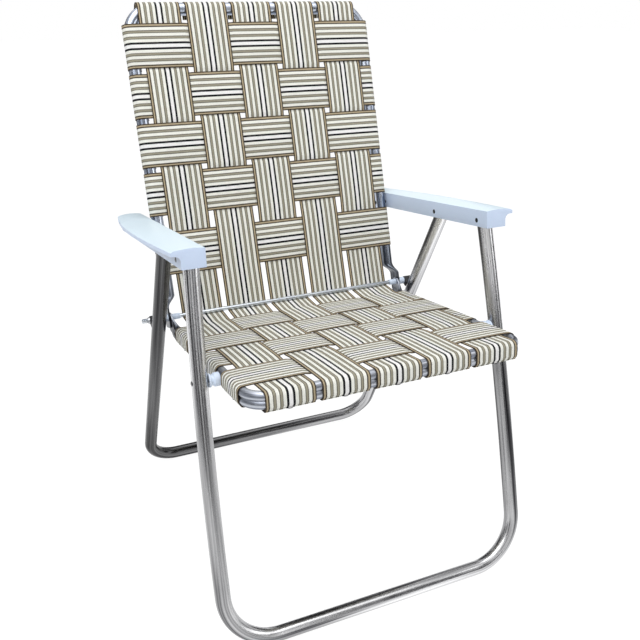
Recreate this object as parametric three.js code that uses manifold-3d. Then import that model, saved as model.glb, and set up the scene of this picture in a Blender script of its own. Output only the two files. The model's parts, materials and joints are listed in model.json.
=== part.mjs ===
// Folding lawn chair with woven webbing: aluminium tube frames, moulded armrests and a cross rod.
// Millimetres and degrees, +X to the sitter's left, +Y to the rear, +Z up, floor at z = 0.
import * as THREE from 'three';
import { mergeVertices } from 'three/addons/utils/BufferGeometryUtils.js';
import Module from 'manifold-3d';

const wasm = await Module();
wasm.setup();

// Fits
const gap = 0.3;
const cutOverrun = 4;
const roundSides = 12;
const boreSides = 12;
const rivetSides = 8;
const cornerSteps = 6;
const lobeSteps = 4;

// Webbing: straps share the room between rails and pivots, 78.6 mm each at these sizes
const webThickness = 1.2;
const weaveOffset = 0.75;
const weaveMargin = 1;
const columnCount = 5;
const columnGap = 9.8;
const columnToRail = 17.1;
const strapTail = 14;
const strapSplitAngle = 38;

// Cross rod
const rodDiameter = 7.94;
const rodHeight = 421;
const rodOverhang = 10.9;
const collarLength = 15.7;
const collarWall = 1.2;
const washerDiameter = 14;
const pushNutDiameter = 13;
const pushNutLength = 3.3;

// Back frame, in a frame at the rod with z up along the back
const backRecline = 19.3;
const backTube = 22.2;
const backTubeWall = 1.25;
const backHalfWidth = 233.2;
const backSetback = 19.8;
const backTopAbove = 554.4;
const backCornerRadius = 47;
const backEndBelow = 20;
const backPlateWidth = 33;
const backPlateForward = 10.5;
const backFlattenTop = 39;
const backFlattenBottom = 17;
const backRowCount = 5;
const backRowGap = 9.1;
const backRowFromTop = 27.4;
const backRowAbovePivot = 19.7;
const backRowBelowPivot = 10.6;
const backRowsEnd = 76.4;

// Flattened tube ends
const plateThickness = 3;
const plateSlit = 0.5;
const plateEndRounding = 7;

// Seat frame, in a frame at the rod with y to the rear along the seat
const seatSlope = 8.5;
const seatTubeHeight = 28;
const seatTubeDepth = 16;
const seatTubeWall = 1.2;
const seatDrop = 27.1;
const seatReach = 413.5;
const seatCornerRadius = 35;
const seatPlateHeight = 37;
const seatPlateRise = 16.6;
const seatPlateBehind = 10;
const seatFlareStart = 8;
const seatFlareEnd = 32;
const seatStepStart = 3;
const seatStepEnd = 24;
const seatRowCount = 4;
const seatRowGap = 3.8;
const seatRowsStart = 36;
const seatRowBehindPivot = 12;
const seatRowAheadOfPivot = 11.8;
const seatRowFromFront = 31.7;
const seatPivotShare = 0.70472;

// Armrests, in a frame at the rear arm pivot with y to the rear along the arm
const armPivotAbove = 165.6;
const armSlope = 8.5;
const armLink = 317.3;
const rearPivotLink = 184;
const armFrontOverhang = 30;
const armRearOverhang = 85;
const armRunningGap = 0.4;
const armWall = 2.6;
const armRoof = 18.2;
const armCrown = 3.2;
const armDrop = 10.5;
const armEdgeDrop = 8;
const armChannelWidth = 32.6;
const armWingFillet = 5;
const armBossHeight = 5.6;
const armBossDiameter = 16;
const armFrontWidth = 52;
const armWidest = 62;
const armRearWidth = 44;
const armCornerRounding = 5;

// Leg frames
const legTube = 25.4;
const legTubeWall = 1.25;
const frontBendRadius = 88;
const rearBendRadius = 62;
const frontFootHalfWidth = 280.5;
const spacerLength = 17.5;
const flareClearance = 0.4;
const spacerDiameter = 22;
const spacerNeckDiameter = 17;
const openPivotPlay = 5;

// Leg guides on the rod
const guideWall = 4.13;
const guideHalfWidth = 11;
const guideCradleDepth = 4;
const guideHeight = 12;
const guideBehind = 5.5;

// Rivets
const rivetDiameter = 6;
const rivetHeadDiameter = 10;
const lowHeadHeight = 1;
const domeHeadHeight = 2;

// Colours
const aluminium = { color: 0xc6c9cc, metalness: 0.9, roughness: 0.28 };
const steel = { color: 0x9a9da1, metalness: 0.9, roughness: 0.35 };
const armPlastic = { color: 0xdde6f3, metalness: 0, roughness: 0.42 };
const whiteNylon = { color: 0xf1f1ec, metalness: 0, roughness: 0.5 };
const blackNylon = { color: 0x1b1b1d, metalness: 0, roughness: 0.5 };
const webbing = { color: 0xc9c0a4, metalness: 0, roughness: 0.85 };

// Derived radii and the stack of pieces along the rod, from the middle outwards
const backRadius = backTube / 2;
const legRadius = legTube / 2;
const rodRadius = rodDiameter / 2;
const rodBore = rodRadius + gap;
const rivetRadius = rivetDiameter / 2;
const rivetBore = rivetRadius + gap;
const backOuterX = backHalfWidth + backRadius;
const seatPlateOuterX = backOuterX - plateThickness - gap;
const seatHalfWidth = seatPlateOuterX - seatTubeDepth / 2;
const collarOuterX = seatPlateOuterX - plateThickness - gap;
const armInnerX = backOuterX + gap + webThickness + armRunningGap;
const armChannelX = armInnerX + armWall;
const armOuterWallX = armChannelX + armChannelWidth;
const rearLegHalfWidth = armChannelX + armBossHeight + gap + legRadius;
const frontLegTopHalfWidth = armChannelX + gap + legRadius;
const spacerInnerX = seatHalfWidth + seatTubeDepth / 2 + gap;
const spacerOuterX = spacerInnerX + spacerLength;
const frontLegSeatHalfWidth = spacerOuterX + flareClearance + gap + legRadius;
const washerInnerX = backOuterX + gap;
const guideInnerX = rearLegHalfWidth - guideHalfWidth;
const guideOuterX = rearLegHalfWidth + guideHalfWidth;
const pushNutX = guideOuterX + gap;
const rodEndX = pushNutX + pushNutLength + rodOverhang;
const rowOrbit = backRadius + gap + webThickness / 2;
const lobeOrbit = seatTubeDepth / 2 + gap + webThickness / 2;
const lobeOffset = (seatTubeHeight - seatTubeDepth) / 2;
const guideOffset = rodBore + guideWall + gap + legRadius;

// Side view points as (y, z) from the rod
const radians = THREE.MathUtils.degToRad;
const polar = (angle, length) => new THREE.Vector2(Math.cos(angle), Math.sin(angle)).multiplyScalar(length);
const backUp = polar(radians(90 - backRecline), 1);
const backRear = polar(radians(-backRecline), 1);
const armPivot = backUp.clone().multiplyScalar(armPivotAbove).addScaledVector(backRear, backSetback);
const armForward = polar(radians(180 - armSlope), 1);
const frontPivot = armPivot.clone().addScaledVector(armForward, armLink);
const rearPivot = armPivot.clone().addScaledVector(armForward, rearPivotLink);
const seatForward = polar(radians(180 - seatSlope), 1);
const seatPivotReach = seatReach * seatPivotShare;
const seatDown = polar(radians(-90 - seatSlope), 1);
const seatPivot = seatForward.clone().multiplyScalar(seatPivotReach).addScaledVector(seatDown, seatDrop);
const footHeight = legRadius * Math.cos(Math.PI / roundSides) - rodHeight;

// The front legs run from their pivot in the arm through the seat pivot to the floor
const frontLean = Math.atan2(frontPivot.x - seatPivot.x, frontPivot.y - seatPivot.y);
const frontLength = (frontPivot.y - footHeight) / Math.cos(frontLean);
const frontFoot = new THREE.Vector2(frontPivot.x - frontLength * Math.sin(frontLean), footHeight);
const seatPivotOnLeg = frontLength - frontPivot.distanceTo(seatPivot);

// The rear legs run from their pivot in the arm past the front of the rod to the floor
const rearLean = Math.atan2(-rearPivot.x, rearPivot.y) - Math.asin(guideOffset / rearPivot.length());
const rearLength = (rearPivot.y - footHeight) / Math.cos(rearLean);
const rearFoot = new THREE.Vector2(rearPivot.x + rearLength * Math.sin(rearLean), footHeight);

// Solids from geometry and back
function toSolid(geometry) {
  const bare = geometry.clone();
  bare.deleteAttribute('normal');
  bare.deleteAttribute('uv');
  const merged = mergeVertices(bare);
  return new wasm.Manifold(new wasm.Mesh({
    numProp: 3,
    vertProperties: Float32Array.from(merged.attributes.position.array),
    triVerts: Uint32Array.from(merged.index.array),
  }));
}

function toGeometry(solid) {
  const mesh = solid.getMesh();
  const geometry = new THREE.BufferGeometry();
  geometry.setAttribute('position', new THREE.BufferAttribute(Float32Array.from(mesh.vertProperties), 3));
  geometry.setIndex(new THREE.BufferAttribute(Uint32Array.from(mesh.triVerts), 1));
  return geometry;
}

function cut(geometry, ...tools) {
  return toGeometry(tools.reduce((solid, tool) => solid.subtract(toSolid(tool)), toSolid(geometry)));
}

function join(geometry, ...others) {
  return toGeometry(others.reduce((solid, other) => solid.add(toSolid(other)), toSolid(geometry)));
}

// A closed skin over rings of equal length, capped by the outlines of its first and last ring
function loft(rings, firstOutline, lastOutline) {
  const count = rings[0].length;
  const points = rings.flat();
  const faces = [];
  for (let ring = 0; ring + 1 < rings.length; ring += 1) {
    for (let i = 0; i < count; i += 1) {
      const a = ring * count + i;
      const b = ring * count + (i + 1) % count;
      faces.push([a, b, b + count], [a, b + count, a + count]);
    }
  }
  const turn = Math.sign(THREE.ShapeUtils.area(firstOutline));
  const lastStart = (rings.length - 1) * count;
  for (const [a, b, c] of THREE.ShapeUtils.triangulateShape(firstOutline, [])) {
    faces.push(turn > 0 ? [c, b, a] : [a, b, c]);
  }
  for (const [a, b, c] of THREE.ShapeUtils.triangulateShape(lastOutline, [])) {
    faces.push((turn > 0 ? [a, b, c] : [c, b, a]).map((i) => i + lastStart));
  }
  const volume = faces.reduce((sum, [a, b, c]) => sum + points[a].dot(points[b].clone().cross(points[c])), 0);
  const index = volume < 0 ? faces.flatMap(([a, b, c]) => [a, c, b]) : faces.flat();
  const geometry = new THREE.BufferGeometry().setFromPoints(points);
  geometry.setIndex(index);
  return geometry;
}

// Outlines across a tube: a towards the outside of the bend, b square to the frame's plane
function roundOutline(radius, phase = 0) {
  return Array.from({ length: roundSides }, (_, i) => {
    const angle = phase + (i / roundSides) * Math.PI * 2;
    return new THREE.Vector2(Math.cos(angle), Math.sin(angle)).multiplyScalar(radius);
  });
}

function lobedOutline(height, depth) {
  const radius = depth / 2;
  const offset = (height - depth) / 2;
  const waist = Math.asin(offset / radius);
  const stepsPerLobe = 8;
  const outline = [];
  for (const side of [1, -1]) {
    for (let i = 0; i < stepsPerLobe; i += 1) {
      const angle = -waist + (i / stepsPerLobe) * (Math.PI + 2 * waist) + (side < 0 ? Math.PI : 0);
      outline.push(new THREE.Vector2(radius * Math.cos(angle), side * offset + radius * Math.sin(angle)));
    }
  }
  return outline;
}

function flattenOutline(outline, share, thickness, height) {
  const reach = Math.max(...outline.map((point) => point.x));
  const rise = Math.max(...outline.map((point) => point.y));
  const edgeShare = 0.35;
  return outline.map((point) => {
    const across = THREE.MathUtils.clamp(point.x / (reach * edgeShare), -1, 1) * (thickness / 2);
    return point.clone().lerp(new THREE.Vector2(across, (point.y / rise) * (height / 2)), share);
  });
}

// A tube bent to a U: half stations from its middle to one end, mirrored for the other half
function bendTube(halfStations, place) {
  const mirrored = halfStations.slice(1).reverse().map((station) => ({
    at: new THREE.Vector2(-station.at.x, station.at.y),
    out: new THREE.Vector2(-station.out.x, station.out.y),
    outline: station.outline,
  }));
  const stations = [...mirrored, ...halfStations];
  const rings = stations.map(({ at, out, outline }) => outline.map((point) => {
    const flat = at.clone().addScaledVector(out, point.x);
    return place(flat.x, flat.y, point.y);
  }));
  return loft(rings, stations[0].outline, stations.at(-1).outline);
}

// Stations from the middle of a cross bar, round its corner, to the start of the side
function cornerStations(halfWidth, barAt, radius, away, outline) {
  const steps = cornerSteps;
  const centre = new THREE.Vector2(halfWidth - radius, barAt - away * radius);
  const stations = [{ at: new THREE.Vector2(0, barAt), out: new THREE.Vector2(0, away), outline }];
  for (let i = 0; i <= steps; i += 1) {
    const angle = (i / steps) * (Math.PI / 2);
    const out = new THREE.Vector2(Math.sin(angle), away * Math.cos(angle));
    stations.push({ at: centre.clone().addScaledVector(out, radius), out, outline });
  }
  return stations;
}

const inFrontal = (x, z, y) => new THREE.Vector3(x, y, z);
const inPlan = (x, y, z) => new THREE.Vector3(x, y, z);

// A cylinder along x between two places
function barAlongX(radius, fromX, toX, y, z, sides = boreSides) {
  const bar = new THREE.CylinderGeometry(radius, radius, Math.abs(toX - fromX), sides);
  bar.rotateZ(Math.PI / 2);
  bar.translate((fromX + toX) / 2, y, z);
  return bar;
}

// A turned piece along x: profile as [radius, distance outwards], closed on itself
function turnedAlongX(profile, side, sides = boreSides) {
  const points = profile.map(([radius, distance]) => new THREE.Vector2(radius, distance));
  const piece = new THREE.LatheGeometry(points, sides);
  piece.rotateZ(side > 0 ? -Math.PI / 2 : Math.PI / 2);
  return piece;
}

// A ring along x with a bore, as a closed profile
function sleeveProfile(bore, radius, from, to) {
  return [[bore, from], [radius, from], [radius, to], [bore, to], [bore, from]];
}

const backEase = (share) => THREE.MathUtils.smoothstep(share, 0, 1);

function backTubeSkin(radius, thickness, width, endOverrun) {
  const outline = roundOutline(radius);
  const stations = cornerStations(backHalfWidth, backTopAbove, backCornerRadius, 1, outline);
  const plateShift = backRadius - plateThickness / 2;
  const side = (above, share, narrowing) => ({
    at: new THREE.Vector2(backHalfWidth + plateShift * backEase(share), above),
    out: new THREE.Vector2(1, 0),
    outline: flattenOutline(outline, backEase(share), thickness, width - narrowing)
      .map((point) => new THREE.Vector2(point.x, point.y - backPlateForward * backEase(share))),
  });
  const flattenShares = [0, 0.25, 0.5, 0.75, 1];
  for (const share of flattenShares) {
    stations.push(side(THREE.MathUtils.lerp(backFlattenTop, backFlattenBottom, share), share, 0));
  }
  stations.push(side(plateEndRounding - backEndBelow, 1, 0));
  stations.push(side(-backEndBelow - endOverrun, 1, plateEndRounding));
  return bendTube(stations, inFrontal);
}

function backFrame() {
  const outer = backTubeSkin(backRadius, plateThickness, backPlateWidth, 0);
  const bore = backRadius - backTubeWall;
  const inner = backTubeSkin(bore, plateSlit, backPlateWidth - 2 * plateThickness, cutOverrun);
  outer.translate(0, backSetback, 0);
  inner.translate(0, backSetback, 0);
  const holes = [-1, 1].flatMap((side) => [
    barAlongX(rodBore, side * (backOuterX - plateThickness - cutOverrun), side * (backOuterX + cutOverrun), 0, 0),
    barAlongX(
      rivetBore,
      side * (backHalfWidth - backTube),
      side * (backHalfWidth + backTube),
      backSetback,
      armPivotAbove,
    ),
  ]);
  return cut(outer, inner, ...holes);
}

function seatTubeSkin(height, depth, thickness, plateHeight, endOverrun) {
  const outline = lobedOutline(height, depth);
  const stations = cornerStations(seatHalfWidth, -seatReach, seatCornerRadius, -1, outline);
  const plateShift = seatPlateOuterX - plateThickness / 2 - seatHalfWidth;
  // Towards the rod the tube steps up to the plate and is pressed flat against its outer face
  const side = (reach, narrowing) => {
    const flat = THREE.MathUtils.clamp((seatFlareEnd - reach) / (seatFlareEnd - seatFlareStart), 0, 1);
    const step = THREE.MathUtils.clamp((seatStepEnd - reach) / (seatStepEnd - seatStepStart), 0, 1);
    return {
      at: new THREE.Vector2(seatHalfWidth + plateShift * flat, -reach),
      out: new THREE.Vector2(1, 0),
      outline: flattenOutline(outline, flat, thickness, plateHeight - narrowing)
        .map((point) => new THREE.Vector2(point.x, point.y + seatPlateRise * step)),
    };
  };
  stations.push(side(seatFlareEnd, 0), side(seatStepEnd, 0));
  stations.push(side((seatStepEnd + seatFlareStart) / 2, 0), side(seatFlareStart, 0), side(seatStepStart, 0));
  stations.push(side(plateEndRounding - seatPlateBehind, 0));
  stations.push(side(-seatPlateBehind - endOverrun, plateEndRounding));
  return bendTube(stations, inPlan);
}

function seatFrame() {
  const outer = seatTubeSkin(seatTubeHeight, seatTubeDepth, plateThickness, seatPlateHeight, 0);
  const inner = seatTubeSkin(
    seatTubeHeight - 2 * seatTubeWall,
    seatTubeDepth - 2 * seatTubeWall,
    plateSlit,
    seatPlateHeight - 2 * plateThickness,
    cutOverrun,
  );
  outer.translate(0, 0, -seatDrop);
  inner.translate(0, 0, -seatDrop);
  const holes = [-1, 1].flatMap((side) => [
    barAlongX(
      rodBore,
      side * (seatPlateOuterX - plateThickness - cutOverrun),
      side * (seatPlateOuterX + cutOverrun),
      0,
      0,
    ),
    barAlongX(
      rivetBore,
      side * (seatHalfWidth - seatTubeDepth),
      side * (seatHalfWidth + seatTubeDepth),
      -seatPivotReach,
      -seatDrop,
    ),
  ]);
  return cut(outer, inner, ...holes);
}

// The leg tube's upper end is drawn in so that it turns under the arm's roof; one facet faces the floor
function legTubeSkin(radius, wallOff, lean, bendRadius, halfWidthAt, length, endOverrun) {
  const phase = lean + Math.PI / roundSides;
  const outline = roundOutline(radius - wallOff, phase);
  const stations = cornerStations(halfWidthAt(bendRadius), 0, bendRadius, -1, outline);
  const place = (up, tipRadius) => stations.push({
    at: new THREE.Vector2(halfWidthAt(up), up),
    out: new THREE.Vector2(1, 0),
    outline: roundOutline(tipRadius - wallOff, phase),
  });
  const runShares = [0.3, 0.6, 0.85];
  for (const share of runShares) {
    place(THREE.MathUtils.lerp(bendRadius, length, share), radius);
  }
  const tipShares = [[0, 1], [0.45, 0.9], [0.72, 0.72], [0.84, 0.56]];
  for (const [along, across] of tipShares) {
    place(length + radius * along, radius * across);
  }
  if (endOverrun > 0) {
    const [along, across] = tipShares.at(-1);
    place(length + radius * along + endOverrun, radius * across);
  }
  return bendTube(stations, inFrontal);
}

function legFrame(lean, bendRadius, halfWidthAt, length, holes) {
  const outer = legTubeSkin(legRadius, 0, lean, bendRadius, halfWidthAt, length, 0);
  const inner = legTubeSkin(legRadius, legTubeWall, lean, bendRadius, halfWidthAt, length, cutOverrun);
  const drills = holes.flatMap(({ up, radius }) => [-1, 1].map((side) => {
    const middle = halfWidthAt(up);
    return barAlongX(radius, side * (middle - legTube), side * (middle + legTube), 0, up);
  }));
  return cut(outer, inner, ...drills);
}

// Half width of the front legs along their length, through foot, seat pivot and arm pivot
function frontHalfWidth(up) {
  const knots = [
    [frontBendRadius, frontFootHalfWidth],
    [seatPivotOnLeg, frontLegSeatHalfWidth],
    [frontLength, frontLegTopHalfWidth],
  ];
  return knots.reduce((sum, [at, value], i) => {
    const others = knots.filter((_, j) => j !== i);
    return sum + others.reduce((term, [other]) => term * ((up - other) / (at - other)), value);
  }, 0);
}

function frontLegFrame() {
  return legFrame(frontLean, frontBendRadius, frontHalfWidth, frontLength, [
    { up: seatPivotOnLeg, radius: rivetBore },
    { up: frontLength, radius: rivetRadius + openPivotPlay },
  ]);
}

function rearLegFrame() {
  return legFrame(-rearLean, rearBendRadius, () => rearLegHalfWidth, rearLength, [
    { up: rearLength, radius: rivetBore },
  ]);
}

// Armrest outline in plan: how far it reaches outwards at places along its length
function armReach(along) {
  const length = armLink + armFrontOverhang + armRearOverhang;
  const share = (along + armLink + armFrontOverhang) / length;
  const swellShare = 0.52;
  if (share < swellShare) {
    return THREE.MathUtils.lerp(armFrontWidth, armWidest, Math.sin((share / swellShare) * (Math.PI / 2)));
  }
  const rest = (share - swellShare) / (1 - swellShare);
  return THREE.MathUtils.lerp(armWidest, armRearWidth, rest ** 2);
}

function armOutline(reach, rounding, side) {
  const edge = armInnerX + reach - rounding;
  const inner = armInnerX;
  const wall = armOuterWallX + armWall;
  const top = armRoof - rounding / 2;
  const wingUnder = armRoof - armEdgeDrop;
  const points = [
    [inner, -armDrop],
    [inner, top - armWall],
    [inner + armWall, top],
    [THREE.MathUtils.lerp(inner, edge, 1 / 4), top + armCrown * (3 / 4)],
    [THREE.MathUtils.lerp(inner, edge, 1 / 2), top + armCrown],
    [THREE.MathUtils.lerp(inner, edge, 3 / 4), top + armCrown * (3 / 4)],
    [edge - armWall, top],
    [edge, top - armWall],
    [edge, wingUnder],
    [edge - armWall, wingUnder],
    [Math.min(wall + armWingFillet, edge - armWall * 1.5), wingUnder],
    [wall + armWingFillet / 4, wingUnder - armWingFillet / 4],
    [wall, wingUnder - armWingFillet],
    [wall, -armDrop + armWall],
    [wall - armWall, -armDrop],
  ];
  return points.map(([x, z]) => new THREE.Vector2(side * x, z));
}

function armrest(side) {
  const front = -armLink - armFrontOverhang;
  const rear = armRearOverhang;
  const alongShares = [0.1, 0.2, 0.3, 0.4, 0.52, 0.64, 0.76, 0.88];
  const stops = [front + armCornerRounding, ...alongShares.map((share) => THREE.MathUtils.lerp(front, rear, share)),
    rear - armCornerRounding];
  const sections = [
    [front, armCornerRounding],
    ...stops.map((along) => [along, 0]),
    [rear, armCornerRounding],
  ];
  const outlines = sections.map(([along, rounding]) => armOutline(armReach(along), rounding, side));
  const rings = outlines.map((outline, i) => outline.map((p) => new THREE.Vector3(p.x, sections[i][0], p.y)));
  const body = loft(rings, outlines[0], outlines.at(-1));
  const roofUnder = armRoof - armWall;
  const channelLength = rear - front - 2 * armWall;
  const channel = new THREE.BoxGeometry(armChannelWidth, channelLength, roofUnder + armDrop + cutOverrun);
  channel.translate(
    side * (armChannelX + armChannelWidth / 2),
    (front + rear) / 2,
    (roofUnder - armDrop - cutOverrun) / 2,
  );
  const wing = wingPocket(stops, side, roofUnder);
  const boss = barAlongX(
    armBossDiameter / 2,
    side * (armChannelX - armWall / 2),
    side * (armChannelX + armBossHeight),
    -rearPivotLink,
    0,
  );
  const through = [0, -rearPivotLink, -armLink].map((along) => barAlongX(
    rivetBore,
    side * (armInnerX - cutOverrun),
    side * (along === 0 ? armChannelX + cutOverrun : armOuterWallX + armWall + cutOverrun),
    along,
    0,
  ));
  return cut(join(cut(body, channel, wing), boss), ...through);
}

// The hollow under the wing, between the channel's outer wall and the edge lip
function wingPocket(stops, side, roofUnder) {
  const inner = armOuterWallX + armWall + armWingFillet;
  const bottom = armRoof - armEdgeDrop - cutOverrun;
  const outlineAt = (along) => {
    const outer = armInnerX + armReach(along) - armWall;
    return [[inner, bottom], [outer, bottom], [outer, roofUnder], [inner, roofUnder]]
      .map(([x, z]) => new THREE.Vector2(side * x, z));
  };
  const wide = stops.filter((along) => armReach(along) - armWall * 2 > inner - armInnerX);
  const outlines = wide.map(outlineAt);
  const rings = outlines.map((outline, i) => outline.map((p) => new THREE.Vector3(p.x, wide[i], p.y)));
  return loft(rings, outlines[0], outlines.at(-1));
}

// Guide that carries the rear leg on the rod: a saddle in plan, as high as guideHeight
function legGuide(side) {
  const shape = new THREE.Shape();
  const centre = side * rearLegHalfWidth;
  const cradle = legRadius + gap;
  const lip = cradle - guideCradleDepth;
  const lipAngle = Math.asin(lip / cradle);
  shape.moveTo(side * guideInnerX, lip - guideOffset);
  shape.lineTo(side * guideInnerX, guideBehind);
  shape.lineTo(side * guideOuterX, guideBehind);
  shape.lineTo(side * guideOuterX, lip - guideOffset);
  const arcSteps = 6;
  for (let i = 0; i <= arcSteps; i += 1) {
    const angle = THREE.MathUtils.lerp(lipAngle, Math.PI - lipAngle, i / arcSteps);
    shape.lineTo(centre + side * cradle * Math.cos(angle), -guideOffset + cradle * Math.sin(angle));
  }
  const saddle = new THREE.ExtrudeGeometry(shape, { depth: guideHeight, bevelEnabled: false });
  saddle.translate(0, 0, -guideHeight / 2);
  const rodHole = barAlongX(rodBore, side * (guideInnerX - cutOverrun), side * (guideOuterX + cutOverrun), 0, 0);
  return cut(saddle, rodHole);
}

// A ribbon of webbing: a strip of even thickness along a centre line
function ribbonShape(line) {
  const normals = line.map((_, i) => {
    const before = line[Math.max(i - 1, 0)];
    const after = line[Math.min(i + 1, line.length - 1)];
    const along = after.clone().sub(before).normalize();
    return new THREE.Vector2(-along.y, along.x);
  });
  const offset = (sign) => line.map((p, i) => p.clone().addScaledVector(normals[i], (sign * webThickness) / 2));
  return new THREE.Shape([...offset(1), ...offset(-1).reverse()]);
}

function arcPoints(centre, radius, fromAngle, toAngle, steps) {
  return Array.from({ length: steps + 1 }, (_, i) => {
    const angle = radians(THREE.MathUtils.lerp(fromAngle, toAngle, i / steps));
    return new THREE.Vector2(centre.x + radius * Math.cos(angle), centre.y + radius * Math.sin(angle));
  });
}

// Points of a strap that goes over and under crossings given as [from, to, sign]
function weavePoints(crossings, plane) {
  return crossings.flatMap(([from, to, sign]) => {
    const direction = Math.sign(to - from);
    const level = plane + sign * weaveOffset;
    return [
      new THREE.Vector2(from - direction * weaveMargin, level),
      new THREE.Vector2(to + direction * weaveMargin, level),
    ];
  });
}

// Places of straps that share a length with equal spaces between them
function sharedPlaces(from, to, count, space) {
  const width = (to - from - space * (count - 1)) / count;
  return Array.from({ length: count }, (_, i) => {
    const start = from + i * (width + space);
    return [start, start + width];
  });
}

const columnReach = backHalfWidth - columnToRail;
const columnPlaces = sharedPlaces(-columnReach, columnReach, columnCount, columnGap);

// Back rows from the top: all but the last lie above the arm's pivot
const backRowPlaces = [
  [backRowsEnd, armPivotAbove - backRowBelowPivot],
  ...sharedPlaces(armPivotAbove + backRowAbovePivot, backTopAbove - backRowFromTop, backRowCount - 1, backRowGap),
].reverse();

// Seat rows from the rod: all but the last lie behind the legs' pivot
const seatRowPlaces = [
  ...sharedPlaces(seatRowsStart, seatPivotReach - seatRowBehindPivot, seatRowCount - 1, seatRowGap),
  [seatPivotReach + seatRowAheadOfPivot, seatReach - seatRowFromFront],
];

// +1 where the crossing row lies on the sitter's side of the column
const rowIsOver = (row, column) => ((row + column) % 2 === 0 ? 1 : -1);

const backPlane = backSetback - rowOrbit;
const seatPlane = lobeOffset + lobeOrbit - seatDrop;

// Row across the back: round both side tubes, with its ends laid behind them
function backRow(row) {
  const crossings = columnPlaces.map(([from, to], column) => [from, to, -rowIsOver(row, column)]);
  const [low, high] = backRowPlaces[row];
  const half = (side) => [
    ...arcPoints(new THREE.Vector2(side * backHalfWidth, backSetback), rowOrbit, -90, side > 0 ? 90 : -270,
      roundSides / 2),
    new THREE.Vector2(side * (backHalfWidth - strapTail), backSetback + rowOrbit),
  ];
  const line = [...half(-1).reverse(), ...weavePoints(crossings, backPlane), ...half(1)];
  const strap = new THREE.ExtrudeGeometry(ribbonShape(line), { depth: high - low, bevelEnabled: false });
  strap.translate(0, 0, low);
  return strap;
}

// Row across the seat: round both rails, with its ends laid under them
function seatRow(row) {
  const crossings = columnPlaces.map(([from, to], column) => [from, to, rowIsOver(row + 1, column)]);
  const [near, far] = seatRowPlaces[row];
  const half = (side) => [
    ...arcPoints(new THREE.Vector2(side * seatHalfWidth, lobeOffset - seatDrop), lobeOrbit,
      90, side > 0 ? 0 : 180, lobeSteps),
    ...arcPoints(new THREE.Vector2(side * seatHalfWidth, -lobeOffset - seatDrop), lobeOrbit,
      side > 0 ? 0 : 180, side > 0 ? -90 : 270, lobeSteps),
    new THREE.Vector2(side * (seatHalfWidth - strapTail), -lobeOffset - lobeOrbit - seatDrop),
  ];
  const line = [...half(-1).reverse(), ...weavePoints(crossings, seatPlane), ...half(1)];
  const strap = new THREE.ExtrudeGeometry(ribbonShape(line), { depth: far - near, bevelEnabled: false });
  strap.applyMatrix4(new THREE.Matrix4().makeBasis(
    new THREE.Vector3(1, 0, 0),
    new THREE.Vector3(0, 0, 1),
    new THREE.Vector3(0, -1, 0),
  ));
  strap.translate(0, -near, 0);
  return strap;
}

function columnStrap(line, [from, to]) {
  const strap = new THREE.ExtrudeGeometry(ribbonShape(line), { depth: to - from, bevelEnabled: false });
  strap.applyMatrix4(new THREE.Matrix4().makeBasis(
    new THREE.Vector3(0, 1, 0),
    new THREE.Vector3(0, 0, 1),
    new THREE.Vector3(1, 0, 0),
  ));
  strap.translate(from, 0, 0);
  return strap;
}

// The strap passes behind and under the rod, split on the way into a back and a seat half
const seatPlaneRadius = -seatPlane;
const turnAngle = 90 + seatSlope - backRecline;

function rodTurnRadius(angle) {
  return THREE.MathUtils.lerp(backPlane, seatPlaneRadius, angle / turnAngle);
}

// Column down the back: over the top bar, through the rows and behind the rod
function backColumn(column) {
  const overTop = [
    new THREE.Vector2(backSetback + rowOrbit, backTopAbove - strapTail),
    ...arcPoints(new THREE.Vector2(backSetback, backTopAbove), rowOrbit, 0, 180, roundSides / 2),
  ];
  const crossings = backRowPlaces.map(([low, high], row) => [high, low, rowIsOver(row, column)]);
  const woven = weavePoints(crossings, backPlane).map((point) => new THREE.Vector2(point.y, point.x));
  const steps = 3;
  const turn = Array.from({ length: steps + 1 }, (_, i) => {
    const angle = (i / steps) * strapSplitAngle;
    return new THREE.Vector2(Math.cos(radians(-angle)), Math.sin(radians(-angle)))
      .multiplyScalar(rodTurnRadius(angle));
  });
  return columnStrap([...overTop, ...woven, ...turn], columnPlaces[column]);
}

// Column along the seat: from under the rod, through the rows and over the front bar
function seatColumn(column) {
  const steps = 3;
  const turn = Array.from({ length: steps + 1 }, (_, i) => {
    const angle = (1 - i / steps) * strapSplitAngle;
    return new THREE.Vector2(Math.sin(radians(angle)), -Math.cos(radians(angle)))
      .multiplyScalar(rodTurnRadius(turnAngle - angle));
  });
  const crossings = seatRowPlaces.map(([near, far], row) => [-near, -far, -rowIsOver(row + 1, column)]);
  const woven = weavePoints(crossings, seatPlane);
  const overFront = [
    ...arcPoints(new THREE.Vector2(-seatReach, lobeOffset - seatDrop), lobeOrbit, 90, 180, lobeSteps),
    ...arcPoints(new THREE.Vector2(-seatReach, -lobeOffset - seatDrop), lobeOrbit, 180, 270, lobeSteps),
    new THREE.Vector2(-seatReach + strapTail, -lobeOffset - lobeOrbit - seatDrop),
  ];
  return columnStrap([...turn, ...woven, ...overFront], columnPlaces[column]);
}

// Small turned pieces, each with its place outwards along x
function rivetProfile(headHeight, from, to, tailHeight) {
  const head = rivetHeadDiameter / 2;
  const edge = head * Math.SQRT1_2;
  return [
    [0, from - headHeight],
    [edge, from - headHeight * Math.SQRT1_2],
    [head, from - headHeight / 4],
    [head, from],
    [rivetRadius, from],
    [rivetRadius, to],
    [head, to],
    [head, to + tailHeight / 4],
    [edge, to + tailHeight * Math.SQRT1_2],
    [0, to + tailHeight],
  ];
}

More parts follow.
